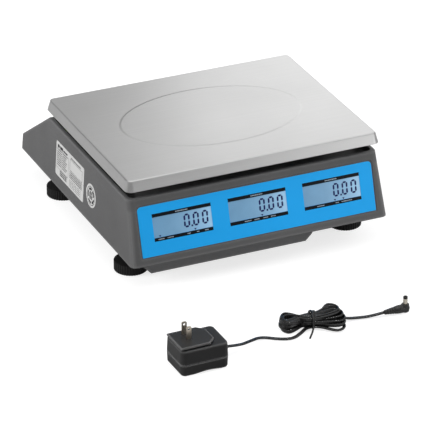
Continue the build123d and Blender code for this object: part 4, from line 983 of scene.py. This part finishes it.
def backlit(name, share_lit=0.45):
    material, tree, shader = finish(name, BACKLIGHT[1][1], 0.22)
    place = tree.nodes.new("ShaderNodeTexCoord")
    split = tree.nodes.new("ShaderNodeSeparateXYZ")
    tree.links.new(place.outputs["Object"], split.inputs[0])
    along = add_math(tree, "MULTIPLY", split.outputs["X"], 1 / (PANEL_PITCH * MM))
    along = add_math(tree, "FRACT", add_math(tree, "ADD", along, 0.5), 0.0)
    ramp = tree.nodes.new("ShaderNodeValToRGB")
    while len(ramp.color_ramp.elements) < len(BACKLIGHT):
        ramp.color_ramp.elements.new(0.5)
    for stop, (position, colour) in zip(ramp.color_ramp.elements, BACKLIGHT):
        stop.position = position
        stop.color = (*colour, 1)
    tree.links.new(along, ramp.inputs["Fac"])
    cloud = between(tree, noise(tree, 60), 0.96, 1.04)
    lit = tree.nodes.new("ShaderNodeVectorMath")
    lit.operation = "SCALE"
    tree.links.new(ramp.outputs["Color"], lit.inputs[0])
    tree.links.new(cloud, lit.inputs["Scale"])
    unlit = tree.nodes.new("ShaderNodeVectorMath")
    unlit.operation = "SCALE"
    unlit.inputs["Scale"].default_value = 1 - share_lit
    tree.links.new(lit.outputs[0], unlit.inputs[0])
    tree.links.new(unlit.outputs[0], shader.inputs["Base Color"])
    tree.links.new(lit.outputs[0], shader.inputs["Emission Color"])
    shader.inputs["Emission Strength"].default_value = share_lit
    grain = noise(tree, 1500, detail=1)
    tree.links.new(between(tree, grain, 0.18, 0.26), shader.inputs["Roughness"])
    raise_bump(tree, shader, grain, 0.05, 0.02)
    return material


display_glass = backlit("display_backlight")
print("glass has", len(BACKLIGHT), "stops of light")

# %% [markdown]
# The colours are plain linear values. The housing is a dark grey moulding, the platter is brushed steel with
# its streaks along x, and the lead is a glossy black vinyl. Pieces that share a material share a finish.

# %% Finishes of the scale
steel = brushed("brushed_stainless", (0.80, 0.80, 0.797), 0.34, (5, 900, 9), contrast=0.05, edge=0.5)
# The housing and the adapter carry a lighter band along their edges, partly wear and partly a painted
# highlight; on the adapter it is six times the base tone.
housing_grey = moulded("housing_grey", (0.083, 0.083, 0.084), 0.5, edge=1.6, edge_wear_and_highlight=0.7)
housing_dark = moulded("housing_dark", (0.03, 0.03, 0.031), 0.5)
rubber_black = moulded("rubber_black", (0.018, 0.018, 0.018), 0.75, grain_mm=1.5)
wheel_black = moulded("wheel_black", (0.011, 0.011, 0.011), 0.45, Specular_IOR_Level=0.3)
adapter_black = moulded("adapter_black", (0.019, 0.019, 0.0192), 0.38, edge=0.9, edge_wear_and_highlight=5, Specular_IOR_Level=0.2)
cord_vinyl = moulded("cord_vinyl", (0.0035, 0.0035, 0.0036), 0.27, grain_mm=3, strength=0.05, edge=0, edge_wear_and_highlight=0,
                     Specular_IOR_Level=0.8)
overlay_blue = moulded("overlay_blue", (0.008, 0.375, 0.87), 0.38, tone=0.025, strength=0.05, edge=0.2, edge_wear_and_highlight=0,
                       Specular_IOR_Level=0.25)
console_film = moulded("console_film", (0.045, 0.05, 0.056), 0.4, tone=0.04, strength=0.08, edge=0.2, edge_wear_and_highlight=0)
strip_ink = moulded("strip_ink", (0.002, 0.003, 0.005), 0.35, tone=0.04, strength=0.05, edge=0, edge_wear_and_highlight=0,
                    Specular_IOR_Level=0.2)
figure_ink = moulded("figure_ink", (0.008, 0.010, 0.085), 0.3, tone=0.08, strength=0.05, edge=0, edge_wear_and_highlight=0,
                     Specular_IOR_Level=0.2)
pale_ink = moulded("pale_ink", (0.32, 0.39, 0.45), 0.5, tone=0.05, strength=0.05, edge=0, edge_wear_and_highlight=0)
grey_ink = moulded("grey_ink", (0.012, 0.012, 0.014), 0.55, tone=0.2, strength=0.05, edge=0, edge_wear_and_highlight=0)
key_light = moulded("key_light", (0.62, 0.62, 0.60), 0.5)
key_dark = moulded("key_dark", (0.10, 0.12, 0.16), 0.5)
board_green = moulded("board_green", (0.02, 0.12, 0.05), 0.4)
silicone = moulded("silicone_grey", (0.35, 0.35, 0.34), 0.6)
cast_grey = moulded("cast_grey", (0.05, 0.05, 0.052), 0.6, grain_mm=1.2)
bare_alloy = brushed("machined_alloy", (0.75, 0.75, 0.76), 0.3, (300, 9, 300))
zinc = brushed("zinc_steel", (0.65, 0.64, 0.6), 0.35, (60, 60, 9))
sheet_steel = brushed("galvanised_sheet", (0.5, 0.51, 0.52), 0.45, (40, 40, 40))
blade_metal = brushed("blade_metal", (0.80, 0.72, 0.60), 0.3, (300, 300, 9))
nickel = brushed("nickel_barrel", (0.80, 0.74, 0.64), 0.24, (200, 200, 9))
label_film = moulded("label_film", (0.48, 0.48, 0.475), 0.4, tone=0.03, strength=0.05, edge=0, edge_wear_and_highlight=0)
level_green = moulded("level_green", (0.35, 0.6, 0.1), 0.15, strength=0.0)

wear(["platter"], steel)
wear(["upper_housing", "lower_housing"], housing_grey)
wear(["battery_door"], housing_dark)
wear(["platter_support"], cast_grey)
wear([n for n in nodes if n.startswith("foot_wheel")], wheel_black)
wear([n for n in nodes if n.startswith("foot_pad")] + ["platter_cushions"], rubber_black)
wear(["adapter_upper_shell", "adapter_lower_shell", "plug_slide"], adapter_black)
wear(["plug_blades"], blade_metal)
wear(["barrel_sleeve"], nickel)
wear(["barrel_tip", "dc_jack", "power_switch_case", "power_switch_rocker"], wheel_black)
wear(["customer_overlay"], overlay_blue)
wear(["operator_overlay"], console_film)
wear(["customer_displays", "operator_displays"], display_glass)
wear(["customer_board", "main_board"], board_green)
wear(["keypad_mat"], silicone)
wear(["battery"], housing_dark)
wear(["chassis"], sheet_steel)
wear(["load_cell"], bare_alloy)
wear(["base_screws", "support_screws", "overload_stops", "housing_screws"], zinc)
wear(["bubble_level"], level_green)
wear(["side_labels"], label_film)
wear([n for n in nodes if n.startswith("key_") and n[4:] in [*"0123456789", "point"]], key_light)
wear(["key_clear", "key_zero", "key_tare", "key_add", "key_total"], key_dark)

for piece in (cord, barrel_plug, tie, tail):
    piece.data.materials.append(cord_vinyl)
for strips, strip_marks, figures in (panel_print, console_print):
    strips.data.materials.append(strip_ink)
    strip_marks.data.materials.append(pale_ink)
    figures.data.materials.append(figure_ink)
console_lines.data.materials.append(pale_ink)
for piece in (label_print, sticker_print, level_ring):
    piece.data.materials.append(grey_ink)
for piece in (stroke_sign, ring_sign, level_bubble):
    piece.data.materials.append(pale_ink)
for legend in legends:
    under = nodes[legend.name.replace("sign", "key")].material_slots[0].material
    legend.data.materials.append(grey_ink if under == key_light else pale_ink)
print(len(bpy.data.materials), "finishes")

# %% [markdown]
# ## Closing
# The last cell says that the dressing is done.

# %% End
print("the scene is dressed")
